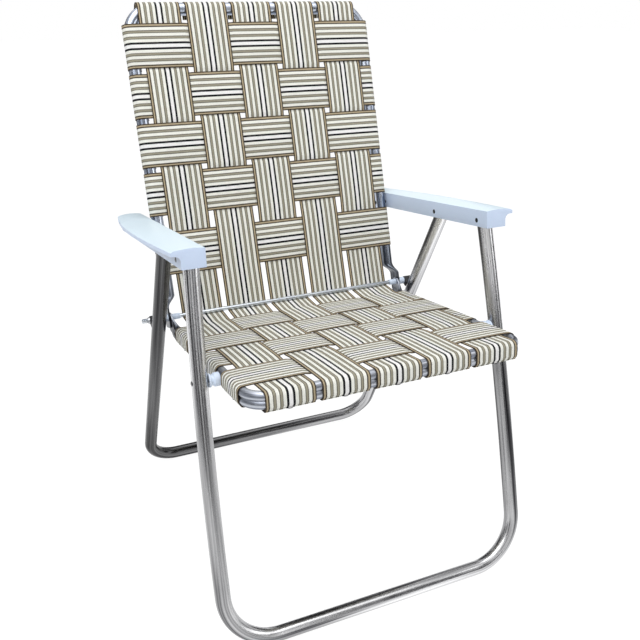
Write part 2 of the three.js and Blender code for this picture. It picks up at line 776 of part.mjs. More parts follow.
function spacerProfile(from, to) {
  const length = to - from;
  const drum = spacerDiameter / 2;
  const neck = spacerNeckDiameter / 2;
  return [
    [rivetBore, from],
    [drum, from],
    [drum, from + length * (5 / 9)],
    [neck, from + length * (6 / 9)],
    [neck, to - length / 5],
    [drum - gap, to - length / 5],
    [drum - gap, to - length / 20],
    [drum - length / 20, to],
    [rivetBore, to],
    [rivetBore, from],
  ];
}

function pushNutProfile() {
  const radius = pushNutDiameter / 2;
  return [
    [rodBore, pushNutX],
    [radius, pushNutX],
    [radius, pushNutX + pushNutLength / 4],
    [radius * (3 / 4), pushNutX + pushNutLength],
    [rodBore, pushNutX + pushNutLength],
    [rodBore, pushNutX],
  ];
}

function piece(name, geometry, finish) {
  const mesh = new THREE.Mesh(geometry, new THREE.MeshStandardMaterial(finish));
  mesh.name = name;
  return mesh;
}

function placed(y, z, angle, ...children) {
  const group = new THREE.Group();
  group.position.set(0, y, z);
  group.rotation.x = angle;
  group.add(...children);
  return group;
}

const sides = [['left', 1], ['right', -1]];

function rodPieces() {
  const washerEnd = guideInnerX - gap;
  const collarProfile = sleeveProfile(rodBore, rodBore + collarWall, collarOuterX - collarLength, collarOuterX);
  const washerProfile = sleeveProfile(rodBore, washerDiameter / 2, washerInnerX, washerEnd);
  return [
    piece('cross_rod', barAlongX(rodRadius, -rodEndX, rodEndX, 0, 0), steel),
    ...sides.flatMap(([name, side]) => [
      piece(`rod_collar_${name}`, turnedAlongX(collarProfile, side), whiteNylon),
      piece(`rod_washer_${name}`, turnedAlongX(washerProfile, side), whiteNylon),
      piece(`push_nut_${name}`, turnedAlongX(pushNutProfile(), side), steel),
    ]),
  ];
}

function backPieces() {
  const rivet = rivetProfile(domeHeadHeight, backHalfWidth - backRadius - gap, armChannelX + gap, lowHeadHeight);
  const rivets = sides.map(([name, side]) => {
    const mesh = piece(`arm_rear_rivet_${name}`, turnedAlongX(rivet, side, rivetSides), steel);
    mesh.position.set(0, backSetback, armPivotAbove);
    return mesh;
  });
  const rows = backRowPlaces.map((_, row) => piece(`back_row_${row + 1}`, backRow(row), webbing));
  const columns = columnPlaces.map((_, column) => piece(`back_strap_${column + 1}`, backColumn(column), webbing));
  return [piece('back_frame', backFrame(), aluminium), ...rivets, ...rows, ...columns, ...rodPieces()];
}

function seatPieces() {
  const rivet = rivetProfile(
    lowHeadHeight,
    seatHalfWidth - seatTubeDepth / 2 - gap,
    frontLegSeatHalfWidth + legRadius + gap,
    domeHeadHeight,
  );
  const pivots = sides.flatMap(([name, side]) => [
    piece(`leg_spacer_${name}`, turnedAlongX(spacerProfile(spacerInnerX, spacerOuterX), side), whiteNylon),
    piece(`seat_rivet_${name}`, turnedAlongX(rivet, side, rivetSides), steel),
  ]);
  for (const mesh of pivots) {
    mesh.position.set(0, -seatPivotReach, -seatDrop);
  }
  const rows = seatRowPlaces.map((_, row) => piece(`seat_row_${row + 1}`, seatRow(row), webbing));
  const columns = columnPlaces.map((_, column) => piece(`seat_strap_${column + 1}`, seatColumn(column), webbing));
  return [piece('seat_frame', seatFrame(), aluminium), ...pivots, ...rows, ...columns];
}

function armPieces() {
  const rivet = rivetProfile(lowHeadHeight, armInnerX - gap, armOuterWallX + armWall + gap, lowHeadHeight);
  return sides.flatMap(([name, side]) => {
    const front = piece(`arm_front_rivet_${name}`, turnedAlongX(rivet, side, rivetSides), steel);
    front.position.y = -armLink;
    const middle = piece(`arm_middle_rivet_${name}`, turnedAlongX(rivet, side, rivetSides), steel);
    middle.position.y = -rearPivotLink;
    return [piece(`armrest_${name}`, armrest(side), armPlastic), front, middle];
  });
}

const chair = new THREE.Group();
chair.add(
  placed(0, rodHeight, -radians(backRecline), ...backPieces()),
  placed(0, rodHeight, -radians(seatSlope), ...seatPieces()),
  placed(armPivot.x, armPivot.y + rodHeight, -radians(armSlope), ...armPieces()),
  placed(frontFoot.x, frontFoot.y + rodHeight, -frontLean, piece('front_leg_frame', frontLegFrame(), aluminium)),
  placed(rearFoot.x, rearFoot.y + rodHeight, rearLean, piece('rear_leg_frame', rearLegFrame(), aluminium)),
  placed(0, rodHeight, rearLean, ...sides.map(([name, side]) => (
    piece(`leg_guide_${name}`, legGuide(side), blackNylon)
  ))),
);

// The origin is the middle of the chair's footprint, on the floor
const footprint = new THREE.Box3().setFromObject(chair, true);
chair.position.y = -(footprint.min.y + footprint.max.y) / 2;

export default chair;
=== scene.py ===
"""Folding lawn chair with woven webbing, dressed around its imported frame.

Sizes are in millimetres and become metres when a mesh is made. The chair stands on z = 0,
+X is the sitter's left and +Y the rear. Each sub-assembly is a class that holds its sizes,
builds its meshes in the chair's own frame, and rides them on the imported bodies.
"""

import json
import logging
import math
from dataclasses import astuple, dataclass
from enum import Enum
from typing import Callable, Sequence

import bmesh
import bpy
from mathutils import Matrix, Vector


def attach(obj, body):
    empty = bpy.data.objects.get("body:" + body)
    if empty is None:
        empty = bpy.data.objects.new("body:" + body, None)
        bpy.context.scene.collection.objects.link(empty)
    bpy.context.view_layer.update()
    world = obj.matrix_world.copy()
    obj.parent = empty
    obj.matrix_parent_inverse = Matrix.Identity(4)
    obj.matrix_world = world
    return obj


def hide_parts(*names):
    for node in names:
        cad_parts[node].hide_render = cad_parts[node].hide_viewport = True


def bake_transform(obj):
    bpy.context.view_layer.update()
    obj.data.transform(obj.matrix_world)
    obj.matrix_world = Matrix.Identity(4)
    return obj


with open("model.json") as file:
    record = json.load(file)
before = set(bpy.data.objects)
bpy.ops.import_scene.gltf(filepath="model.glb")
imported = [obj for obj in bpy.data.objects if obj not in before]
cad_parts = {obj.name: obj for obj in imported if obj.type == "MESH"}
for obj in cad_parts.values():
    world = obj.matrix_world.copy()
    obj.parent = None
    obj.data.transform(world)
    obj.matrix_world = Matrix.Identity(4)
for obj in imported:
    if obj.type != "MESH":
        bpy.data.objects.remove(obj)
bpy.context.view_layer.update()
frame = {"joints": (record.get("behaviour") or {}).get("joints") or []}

MM = 0.001
log = logging.getLogger("lawn_chair")

Point = tuple[float, float]
Colour = tuple[float, float, float, float]


class Side(Enum):
    """The sitter's two sides."""

    LEFT = 1
    RIGHT = -1

    @property
    def word(self) -> str:
        """Side as it stands in piece names."""
        return self.name.lower()


class Body(Enum):
    """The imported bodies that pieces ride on."""

    BACK = "back"
    SEAT = "seat"
    LEFT_ARM = "left_arm"
    RIGHT_ARM = "right_arm"
    FRONT_LEGS = "front_legs"
    REAR_LEGS = "rear_legs"
    LEG_GUIDES = "leg_guides"


class Slot(Enum):
    """The record's material slots."""

    TUBE = "tube"
    STEEL = "steel"
    ARM = "arm"
    WHITE_NYLON = "white_nylon"
    GUIDE = "guide"
    WEBBING = "webbing"


def joint_point(name: str) -> Point:
    """Side view place (y, z) of a packed joint, in millimetres.

    Args:
        name: The joint's name in the record.

    Returns:
        The joint's y and z.
    """
    found = next(joint for joint in frame["joints"] if joint["name"] == name)
    return found["pos_m"][1] / MM, found["pos_m"][2] / MM


@dataclass(frozen=True)
class Place:
    """A frame in the side view: an origin and a turn about X, with y to the rear and z up."""

    origin: Point
    turn: float

    def matrix(self) -> Matrix:
        """Matrix from this frame, in metres, to the chair's frame."""
        shift = Matrix.Translation((0, self.origin[0] * MM, self.origin[1] * MM))
        return shift @ Matrix.Rotation(math.radians(self.turn), 4, "X")

    def point(self, x: float, y: float, z: float) -> Vector:
        """A point of this frame, given in millimetres, in the chair's frame in metres."""
        return self.matrix() @ Vector((x * MM, y * MM, z * MM))

    def flat(self, y: float, z: float) -> Point:
        """A side view point of this frame in the chair's side view, both in millimetres."""
        c, s = math.cos(math.radians(self.turn)), math.sin(math.radians(self.turn))
        return self.origin[0] + y * c - z * s, self.origin[1] + y * s + z * c


@dataclass(frozen=True)
class Layout:
    """Frames of the chair's parts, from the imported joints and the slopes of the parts."""

    back_recline: float = 19.3
    seat_slope: float = 8.5
    arm_slope: float = 8.5
    arm_link: float = 317.3
    leg_tube: float = 25.4
    rod_diameter: float = 7.94
    guide_wall: float = 4.13
    gap: float = 0.3

    @property
    def back(self) -> Place:
        """Frame at the rod with z up along the back."""
        return Place(joint_point("seat_fold"), -self.back_recline)

    @property
    def seat(self) -> Place:
        """Frame at the rod with y to the rear along the seat."""
        return Place(joint_point("seat_fold"), -self.seat_slope)

    @property
    def arm(self) -> Place:
        """Frame at the rear arm pivot with y to the rear along the arm."""
        return Place(joint_point("left_arm_fold"), -self.arm_slope)

    @property
    def guide_offset(self) -> float:
        """Distance from the rod's middle to the rear leg's middle."""
        return self.rod_diameter / 2 + self.gap + self.guide_wall + self.gap + self.leg_tube / 2

    @property
    def front_lean(self) -> float:
        """Lean of the front legs from the vertical, in degrees."""
        top, seat = self.arm.flat(-self.arm_link, 0), joint_point("front_leg_fold")
        return math.degrees(math.atan2(top[0] - seat[0], top[1] - seat[1]))

    @property
    def rear_lean(self) -> float:
        """Lean of the rear legs from the vertical, past the rod at their offset from it.

        Returns:
            The lean in degrees.
        """
        top, rod = joint_point("rear_leg_fold"), joint_point("seat_fold")
        away = math.hypot(rod[0] - top[0], top[1] - rod[1])
        slope = math.atan2(rod[0] - top[0], top[1] - rod[1])
        return math.degrees(slope - math.asin(self.guide_offset / away))


LAYOUT = Layout()


def blend_share(share: float) -> float:
    """A share from 0 to 1, eased at both ends."""
    share = min(1.0, max(0.0, share))
    return share * share * (3 - 2 * share)


def mix(a: float, b: float, share: float) -> float:
    """The value that lies a share of the way from a to b."""
    return a + (b - a) * share


class Graph:
    """Adds nodes to a shader or geometry tree with their values, settings and links."""

    def __init__(self, tree: bpy.types.NodeTree) -> None:
        """Keeps the tree to build in."""
        self.tree = tree

    @classmethod
    def emptied(cls, owner: bpy.types.Material | bpy.types.World) -> "Graph":
        """The graph of a material or a world, with no nodes in it yet.

        Args:
            owner: The material or the world.

        Returns:
            Its graph.
        """
        owner.use_nodes = True
        owner.node_tree.nodes.clear()
        return cls(owner.node_tree)

    def add(self, kind: str, values: dict | None = None, **settings: object) -> bpy.types.Node:
        """Adds one node.

        Args:
            kind: Blender's type name of the node.
            values: Input names or numbers to values, or to sockets that feed them.
            settings: The node's own properties.

        Returns:
            The new node.
        """
        node = self.tree.nodes.new(kind)
        for name, value in settings.items():
            setattr(node, name, value)
        for key, value in (values or {}).items():
            if isinstance(value, bpy.types.NodeSocket):
                self.tree.links.new(value, node.inputs[key])
            else:
                node.inputs[key].default_value = value
        return node

    def link(self, source: bpy.types.NodeSocket, target: bpy.types.NodeSocket) -> None:
        """Joins two sockets."""
        self.tree.links.new(source, target)

    def math(self, operation: str, a: object, b: object = 0.0, c: object = 0.0) -> bpy.types.NodeSocket:
        """Result of a Math node."""
        return self.add("ShaderNodeMath", {0: a, 1: b, 2: c}, operation=operation).outputs[0]

    def vector(self, **parts: object) -> bpy.types.NodeSocket:
        """A vector put together from its X, Y and Z."""
        return self.add("ShaderNodeCombineXYZ", parts).outputs[0]

    def mixed(self, share: object, first: object, second: object) -> bpy.types.NodeSocket:
        """Colour between two, by a share."""
        return self.add("ShaderNodeMix", {0: share, 6: first, 7: second}, data_type="RGBA").outputs[2]

    def ranged(
        self, value: bpy.types.NodeSocket, start: float, full: float, low: float = 0.0, high: float = 1.0
    ) -> bpy.types.NodeSocket:
        """A value moved from one range to another.

        Args:
            value: The value.
            start: Value that becomes low.
            full: Value that becomes high.
            low: Result at the start.
            high: Result at the full value.

        Returns:
            The moved value.
        """
        limits = {"From Min": start, "From Max": full, "To Min": low, "To Max": high}
        return self.add("ShaderNodeMapRange", {"Value": value, **limits}).outputs["Result"]

    def spread(self, noise: bpy.types.NodeSocket, low: float, high: float) -> bpy.types.NodeSocket:
        """A noise value, mostly 0.3 to 0.7, spread over the range from low to high."""
        return self.ranged(noise, 0.3, 0.7, low, high)

    def noise(self, scale: float, detail: float = 3.0) -> bpy.types.NodeSocket:
        """Noise over the piece in Object coordinates.

        Args:
            scale: Its scale, per metre.
            detail: How many finer layers it has.

        Returns:
            The noise value.
        """
        place = self.add("ShaderNodeTexCoord").outputs["Object"]
        values = {"Vector": place, "Scale": scale, "Detail": detail}
        return self.add("ShaderNodeTexNoise", values).outputs["Fac"]

    def ramp(
        self, value: bpy.types.NodeSocket, stops: Sequence[tuple[float, Colour]], stepped: bool = False
    ) -> bpy.types.NodeSocket:
        """Colour of a ramp.

        Args:
            value: Where on the ramp, from 0 to 1.
            stops: Places on the ramp with their colours, two or more in rising order.
            stepped: True where each colour holds until the next one.

        Returns:
            The colour.
        """
        node = self.add("ShaderNodeValToRGB", {"Fac": value})
        if stepped:
            node.color_ramp.interpolation = "CONSTANT"
        elements = node.color_ramp.elements
        for number, (place, colour) in enumerate(stops):
            element = elements[number] if number < 2 else elements.new(place)
            element.position = place
            element.color = colour
        return node.outputs["Color"]

    def seen(self, *kinds: str) -> bpy.types.NodeSocket:
        """Tells rays that show a surface to the camera from rays that light the object.

        Args:
            kinds: Outputs of the Light Path node that count too.

        Returns:
            1 for rays from the camera, for mirrored rays and for the kinds, else 0.
        """
        path = self.add("ShaderNodeLightPath").outputs
        share = path["Is Camera Ray"]
        for kind in ("Is Glossy Ray", *kinds):
            share = self.math("MAXIMUM", share, path[kind])
        return share

    def bump(
        self, shader: bpy.types.Node, height: bpy.types.NodeSocket, strength: float, distance: float
    ) -> None:
        """Gives a shader a bump.

        Args:
            shader: The shader.
            height: Height of the relief, from 0 to 1.
            strength: How strong the relief is.
            distance: How deep it is, in metres.
        """
        node = self.add("ShaderNodeBump", {"Height": height, "Strength": strength, "Distance": distance})
        self.link(node.outputs[0], shader.inputs["Normal"])

    def show(self, shader: bpy.types.Node, output: str = "ShaderNodeOutputMaterial") -> None:
        """Joins a shader to a new output node."""
        self.add(output, {"Surface": shader.outputs[0]})

    def moved(self, geometry: object, shift: object, size: object = (1, 1, 1)) -> bpy.types.NodeSocket:
        """Geometry scaled by a size and then moved by a shift."""
        values = {"Geometry": geometry, "Translation": shift, "Scale": size}
        return self.add("GeometryNodeTransform", values).outputs[0]

    def stored(
        self,
        geometry: bpy.types.NodeSocket,
        name: str,
        value: bpy.types.NodeSocket,
        kind: str = "FLOAT",
        domain: str = "POINT",
    ) -> bpy.types.NodeSocket:
        """Keeps a value of each point or corner under a name.

        Args:
            geometry: The geometry.
            name: Name of the attribute.
            value: Its value.
            kind: Its data type.
            domain: What each value belongs to.

        Returns:
            The geometry with the attribute.
        """
        values = {"Geometry": geometry, "Name": name, "Value": value}
        node = self.add("GeometryNodeStoreNamedAttribute", values, data_type=kind, domain=domain)
        return node.outputs[0]

    def attribute(self, name: str, kind: str = "FLOAT") -> bpy.types.NodeSocket:
        """Reads a named attribute."""
        return self.add("GeometryNodeInputNamedAttribute", {"Name": name}, data_type=kind).outputs[0]


class Finish:
    """A surface finish, whose shader is made once and shared by its pieces."""

    name: str

    def material(self) -> bpy.types.Material:
        """Material of this finish, made when first asked for.

        Returns:
            The material.
        """
        found = bpy.data.materials.get(self.name)
        if found is None:
            found = bpy.data.materials.new(self.name)
            graph = Graph.emptied(found)
            shader = graph.add("ShaderNodeBsdfPrincipled")
            graph.show(shader)
            self.dress(graph, shader)
        return found

    def dress(self, graph: Graph, shader: bpy.types.Node) -> None:
        """Sets the shader's values and feeds its inputs, in each kind of finish in its own way."""
        raise NotImplementedError


@dataclass(frozen=True)
class DrawnAluminium(Finish):
    """Bright drawn tube: fine lines along it, dull patches from handling, and painted light and shade by
    side and by height.
    """

    name: str = "front_aluminium"
    dark: Colour = (0.055, 0.055, 0.06, 1)
    bright: Colour = (0.70, 0.70, 0.71, 1)
    line_scale: float = 700.0
    band_scale: float = 130.0
    patch_scale: float = 22.0
    along_scale: float = 3.6
    # Painted light: lean makes the tube brighter towards +X and darker towards -X.
    lean: float = 0.0
    half_width: float = 0.25
    smooth: float = 0.16
    rough: float = 0.36
    relief: float = 0.35
    # Painted light and shade: heights with brightness factors up the tube.
    painted_light_heights: tuple[tuple[float, float], ...] = ((0.0, 1.0), (1.0, 1.0))

    def dress(self, graph: Graph, shader: bpy.types.Node) -> None:
        """Lines and bands stretched along the tube, from its UV map in metres.

        Args:
            graph: The tree to build in.
            shader: The shader to feed.
        """
        uv = graph.add("ShaderNodeUVMap", uv_map="UVMap").outputs["UV"]
        parts = graph.add("ShaderNodeSeparateXYZ", {0: uv}).outputs
        lines = self.stretched(graph, parts, self.line_scale, self.along_scale)
        bands = self.stretched(graph, parts, self.band_scale, self.along_scale / 2)
        patches = graph.noise(self.patch_scale, 5.0)
        streak = graph.math("MULTIPLY_ADD", lines, 0.25, graph.math("MULTIPLY", bands, 0.75))
        colour = graph.mixed(graph.ranged(streak, 0.39, 0.61), self.dark, self.bright)
        dull = graph.math("MULTIPLY_ADD", patches, 0.4, graph.math("MULTIPLY", streak, 0.6))
        # Painted light and shade on the base colour, by side and by height.
        graph.link(self.worn_and_painted_light(graph, colour), shader.inputs["Base Color"])
        graph.link(graph.spread(dull, self.smooth, self.rough), shader.inputs["Roughness"])
        graph.bump(shader, streak, self.relief, 0.4 * MM)
        shader.inputs["Metallic"].default_value = 1.0

    def worn_and_painted_light(self, graph: Graph, colour: bpy.types.NodeSocket) -> bpy.types.NodeSocket:
        """Paints light and shade: one side of a tube brighter than the other, and one height than
        another.

        Args:
            graph: The tree to build in.
            colour: Colour of the polished tube.

        Returns:
            The colour with painted light and shade.
        """
        place = graph.add("ShaderNodeTexCoord").outputs["Object"]
        x, _, z = graph.add("ShaderNodeSeparateXYZ", {0: place}).outputs
        sideways = graph.math("MULTIPLY_ADD", x, self.lean / self.half_width, 1.0)
        stops = [(height, (factor / 2, factor / 2, factor / 2, 1)) for height, factor in self.painted_light_heights]
        upwards = graph.math("MULTIPLY", graph.ramp(z, stops), 2.0)
        value = graph.math("MULTIPLY", sideways, upwards)
        return graph.add("ShaderNodeHueSaturation", {"Value": value, "Color": colour}).outputs[0]

    def stretched(
        self, graph: Graph, parts: Sequence[bpy.types.NodeSocket], across: float, along: float
    ) -> bpy.types.NodeSocket:
        """Noise that is fine around the tube and long along it.

        Args:
            graph: The tree to build in.
            parts: The UV map's separate coordinates, around and along.
            across: Scale around the tube, per metre.
            along: Scale along the tube, per metre.

        Returns:
            The noise value.
        """
        place = graph.vector(
            X=graph.math("MULTIPLY", parts[0], across), Y=graph.math("MULTIPLY", parts[1], along)
        )
        values = {"Vector": place, "Scale": 1.0, "Detail": 2.0}
        return graph.add("ShaderNodeTexNoise", values).outputs["Fac"]


@dataclass(frozen=True)
class PlatedSteel(Finish):
    """Zinc plated rod, rivets and screws, a little cloudy."""

    name: str = "plated_steel"
    dark: Colour = (0.36, 0.37, 0.39, 1)
    bright: Colour = (0.66, 0.67, 0.69, 1)
    cloud_scale: float = 160.0
    grain_scale: float = 2200.0

    def dress(self, graph: Graph, shader: bpy.types.Node) -> None:
        """Cloudy zinc with small bright spots.

        Args:
            graph: The tree to build in.
            shader: The shader to feed.
        """
        cloud = graph.noise(self.cloud_scale, 6.0)
        colour = graph.mixed(graph.spread(cloud, 0, 1), self.dark, self.bright)
        graph.link(colour, shader.inputs["Base Color"])
        graph.link(graph.spread(cloud, 0.38, 0.24), shader.inputs["Roughness"])
        graph.bump(shader, graph.noise(self.grain_scale, 2.0), 0.12, 0.2 * MM)
        shader.inputs["Metallic"].default_value = 1.0


@dataclass(frozen=True)
class MouldedPlastic(Finish):
    """Moulded plastic or nylon: near one colour, with a faint flow and a fine skin, and where set a
    painted highlight on top and painted shade underneath and in hollows.
    """

    name: str = "moulded_plastic"
    colour: Colour = (0.8, 0.8, 0.8, 1)
    flow: Colour = (0.75, 0.75, 0.75, 1)
    smooth: float = 0.32
    rough: float = 0.44
    # Painted light and shade: top lightens faces that look up, under darkens faces that look down,
    # hollow darkens faces that the piece covers, within the reach below.
    top: Colour | None = None
    under: Colour | None = None
    hollow: Colour | None = None
    painted_shade_reach: float = 30 * MM
    skin: float = 0.10
    flow_scale: float = 14.0
    skin_scale: float = 900.0

    def dress(self, graph: Graph, shader: bpy.types.Node) -> None:
        """Flow marks in colour and gloss, painted light and shade by facing and in hollows, and the skin
        of the mould as a fine bump.

        Args:
            graph: The tree to build in.
            shader: The shader to feed.
        """
        flow = graph.noise(self.flow_scale, 4.0)
        fine = graph.noise(self.skin_scale, 2.0)
        colour = graph.mixed(graph.spread(flow, 0, 1), self.colour, self.flow)
        # Painted shade on faces that look down and painted highlight on faces that look up.
        for painted_tone, start, full in ((self.under, -0.05, -0.6), (self.top, 0.55, 0.95)):
            if painted_tone:
                colour = graph.mixed(graph.ranged(self.upwards(graph), start, full), colour, painted_tone)
        # Painted shade where the piece covers itself, as under the wing, by ambient occlusion.
        if self.hollow:
            colour = graph.mixed(graph.ranged(self.openness(graph), 0.98, 0.82), colour, self.hollow)
        graph.link(colour, shader.inputs["Base Color"])
        gloss = graph.math("MULTIPLY_ADD", fine, 0.3, graph.math("MULTIPLY", flow, 0.7))
        graph.link(graph.spread(gloss, self.smooth, self.rough), shader.inputs["Roughness"])
        graph.bump(shader, fine, self.skin, 0.2 * MM)

    @staticmethod
    def upwards(graph: Graph) -> bpy.types.NodeSocket:
        """How far a face looks up, from 1 down to -1 under the piece."""
        normal = graph.add("ShaderNodeTexCoord").outputs["Normal"]
        return graph.add("ShaderNodeSeparateXYZ", {0: normal}).outputs[2]

    def openness(self, graph: Graph) -> bpy.types.NodeSocket:
        """1 on open faces, and less where the piece covers itself, as under a wing."""
        reach = {"Distance": self.painted_shade_reach}
        return graph.add("ShaderNodeAmbientOcclusion", reach, samples=8, only_local=True).outputs["AO"]


ARM_PLASTIC = MouldedPlastic(
    name="arm_plastic",
    colour=(0.62, 0.72, 0.89, 1),
    flow=(0.60, 0.70, 0.87, 1),
    # Painted light and shade: a lighter top, a darker underside and darker hollows under the wing.
    top=(0.76, 0.88, 0.95, 1),
    under=(0.48, 0.56, 0.70, 1),
    hollow=(0.40, 0.455, 0.56, 1),
    skin=0.06,
)
WHITE_NYLON = MouldedPlastic(
    name="pale_nylon", colour=(0.70, 0.79, 0.92, 1), flow=(0.66, 0.75, 0.89, 1), smooth=0.38, rough=0.5
)
BLACK_NYLON = MouldedPlastic(
    name="black_nylon", colour=(0.012, 0.012, 0.014, 1), flow=(0.022, 0.022, 0.024, 1), rough=0.5
)


class Yarn(Enum):
    """Colours of the webbing's yarns."""

    BROWN = (0.050, 0.034, 0.020, 1)
    TAN = (0.46, 0.375, 0.24, 1)
    OLIVE = (0.075, 0.063, 0.038, 1)
    CREAM = (0.90, 0.89, 0.81, 1)
    TAUPE = (0.34, 0.315, 0.235, 1)
    BLACK = (0.006, 0.006, 0.007, 1)
    WHITE = (0.93, 0.91, 0.89, 1)


TAUPE_STRIPE = ((Yarn.OLIVE, 0.6), (Yarn.TAUPE, 1.8), (Yarn.OLIVE, 0.6))


@dataclass(frozen=True)
class StripedWebbing(Finish):
    """Woven webbing: stripes across its width, ribs along it and picks across it."""

    name: str = "striped_webbing"
    width: float = 78.6 * MM
    ribs: int = 44
    pick: float = 1.5 * MM
    half: tuple[tuple[Yarn, float], ...] = (
        (Yarn.BROWN, 1.2),
        (Yarn.TAN, 1.4),
        (Yarn.BROWN, 1.3),
        (Yarn.CREAM, 3),
        *TAUPE_STRIPE,
        (Yarn.CREAM, 3),
        *TAUPE_STRIPE,
        (Yarn.CREAM, 2.9),
        (Yarn.BLACK, 2.2),
    )
    middle: tuple[tuple[Yarn, float], ...] = ((Yarn.WHITE, 3.4),)
    fibre_scale: float = 1600.0
    worn_scale: float = 9.0

    def dress(self, graph: Graph, shader: bpy.types.Node) -> None:
        """Stripes and weave from the strap's UV map, across and along in metres.

        Args:
            graph: The tree to build in.
            shader: The shader to feed.
        """
        uv = graph.add("ShaderNodeUVMap", uv_map="UVMap").outputs["UV"]
        across, along = graph.add("ShaderNodeSeparateXYZ", {0: uv}).outputs[:2]
        weave, dark = self.weave(graph, across, along)
        stripes = self.stripes(graph, graph.math("DIVIDE", across, self.width))
        fibre, worn_and_painted_light = graph.noise(self.fibre_scale), graph.noise(self.worn_scale)
        # Painted shade in the weave's grooves, with fibre and wear noise, darkens the stripes.
        shade = graph.math("MULTIPLY_ADD", fibre, 0.25, graph.math("MULTIPLY_ADD", worn_and_painted_light, 0.10, dark))
        shaded = graph.add("ShaderNodeHueSaturation", {"Value": shade, "Color": stripes})
        graph.link(shaded.outputs[0], shader.inputs["Base Color"])
        graph.link(graph.spread(fibre, 0.66, 0.84), shader.inputs["Roughness"])
        graph.bump(shader, graph.math("MULTIPLY_ADD", fibre, 0.15, weave), 0.7, 0.5 * MM)
        shader.inputs["Sheen Weight"].default_value = 0.06
        shader.inputs["Specular IOR Level"].default_value = 0.25

    def stripes(self, graph: Graph, share: bpy.types.NodeSocket) -> bpy.types.NodeSocket:
        """Colour of the stripe at a share of the width.

        Args:
            graph: The tree to build in.
            share: Share of the width, from 0 to 1.

        Returns:
            The colour.
        """
        order = [*self.half, *self.middle, *reversed(self.half)]
        total = sum(units for _, units in order)
        starts = [sum(units for _, units in order[:number]) / total for number in range(len(order))]
        stops = [(start, yarn.value) for start, (yarn, _) in zip(starts, order)]
        return graph.ramp(share, stops, stepped=True)

    def weave(
        self, graph: Graph, across: bpy.types.NodeSocket, along: bpy.types.NodeSocket
    ) -> tuple[bpy.types.NodeSocket, bpy.types.NodeSocket]:
        """Height of the weave, and the brightness of its yarns with painted shade down to the grooves.

        Args:
            graph: The tree to build in.
            across: Place across the strap, in metres.
            along: Place along the strap, in metres.

        Returns:
            The height from 0 to 1, and the brightness with painted groove shade.
        """
        rib = graph.math("MULTIPLY", across, self.ribs / self.width)
        turn = graph.math("MULTIPLY", rib, 2 * math.pi)
        ridge = graph.math("MULTIPLY_ADD", graph.math("COSINE", turn), -0.5, 0.5)
        odd = graph.math("MULTIPLY", graph.math("FLOOR", rib), math.pi)
        pick = graph.math("MULTIPLY_ADD", along, 2 * math.pi / self.pick, odd)
        float_over = graph.math("MULTIPLY_ADD", graph.math("COSINE", pick), 0.5, 0.5)
        height = graph.math("MULTIPLY", ridge, graph.math("MULTIPLY_ADD", float_over, 0.6, 0.4))
        # Painted shade: yarns darken to 0.46 down in the grooves.
        return height, graph.math("MULTIPLY_ADD", height, 0.85, 0.46)


# Painted light and shade: the front tube is brighter at its floor bar and above 0.52 m, darker between.
FRONT_TUBE = DrawnAluminium(painted_light_heights=((0.02, 1.5), (0.12, 0.82), (0.36, 0.82), (0.52, 1.75)))
# Painted light and shade: the rear tube is darker at its floor bar, brighter above 0.25 m, and brighter
# on the sitter's left.
REAR_TUBE = DrawnAluminium(
    name="rear_aluminium",
    dark=(0.05, 0.05, 0.055, 1),
    bright=(0.55, 0.55, 0.56, 1),
    lean=0.65,
    painted_light_heights=((0.03, 0.75), (0.25, 1.1)),
)
# Painted shade: the seat tube is darker below 0.41 m.
SEAT_TUBE = DrawnAluminium(
    name="seat_aluminium",
    dark=(0.20, 0.22, 0.27, 1),
    bright=(0.60, 0.63, 0.69, 1),
    band_scale=240.0,
    smooth=0.30,
    rough=0.50,
    painted_light_heights=((0.412, 0.3), (0.424, 1.0)),
)
# Painted shade: the back tube turns dark below 0.56 m, darkest below 0.43 m.
BACK_TUBE = DrawnAluminium(
    name="back_aluminium",
    dark=(0.14, 0.17, 0.23, 1),
    bright=(0.74, 0.80, 0.92, 1),
    band_scale=240.0,
    painted_light_heights=((0.43, 0.12), (0.56, 1.0)),
)
STEEL = PlatedSteel()
ROD_STEEL = PlatedSteel(name="rod_steel", dark=(0.48, 0.52, 0.57, 1), bright=(0.74, 0.78, 0.82, 1))
RIVET_STEEL = PlatedSteel(
    name="rivet_steel", dark=(0.015, 0.017, 0.02, 1), bright=(0.05, 0.054, 0.066, 1)
)
WEBBING = StripedWebbing()


def place_piece(
    obj: bpy.types.Object, body: Body | None, nodes: Sequence[str] = ()
) -> bpy.types.Object:
    """Rides a piece on its body and the nodes that it stands for, and reports it.

    Args:
        obj: The finished piece.
        body: The body it rides on, or None where it rides on none.
        nodes: CAD nodes that it replaces.

    Returns:
        The piece.
    """
    if body is not None:
        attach(obj, body.value)
    if nodes:
        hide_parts(*nodes)
    log.info("%s: %d faces", obj.name, len(obj.data.polygons))
    return obj


def new_object(name: str, data: bpy.types.ID, finish: Finish | None = None) -> bpy.types.Object:
    """An object in the scene.

    Args:
        name: Name of the object.
        data: Its mesh, camera or light.
        finish: Finish of a mesh, or None where it gets its material later.

    Returns:
        The new object.
    """
    obj = bpy.data.objects.new(name, data)
    bpy.context.scene.collection.objects.link(obj)
    if finish is not None:
        data.materials.append(finish.material())
    return obj


def bake(obj: bpy.types.Object) -> bpy.types.Object:
    """Turns the evaluated object into a plain mesh with no modifiers.

    Args:
        obj: The object with its modifiers.

    Returns:
        The same object.
    """
    graph = bpy.context.evaluated_depsgraph_get()
    mesh = bpy.data.meshes.new_from_object(
        obj.evaluated_get(graph), preserve_all_data_layers=True, depsgraph=graph
    )
    obj.modifiers.clear()
    obj.data = mesh
    mesh.name = obj.name
    return obj


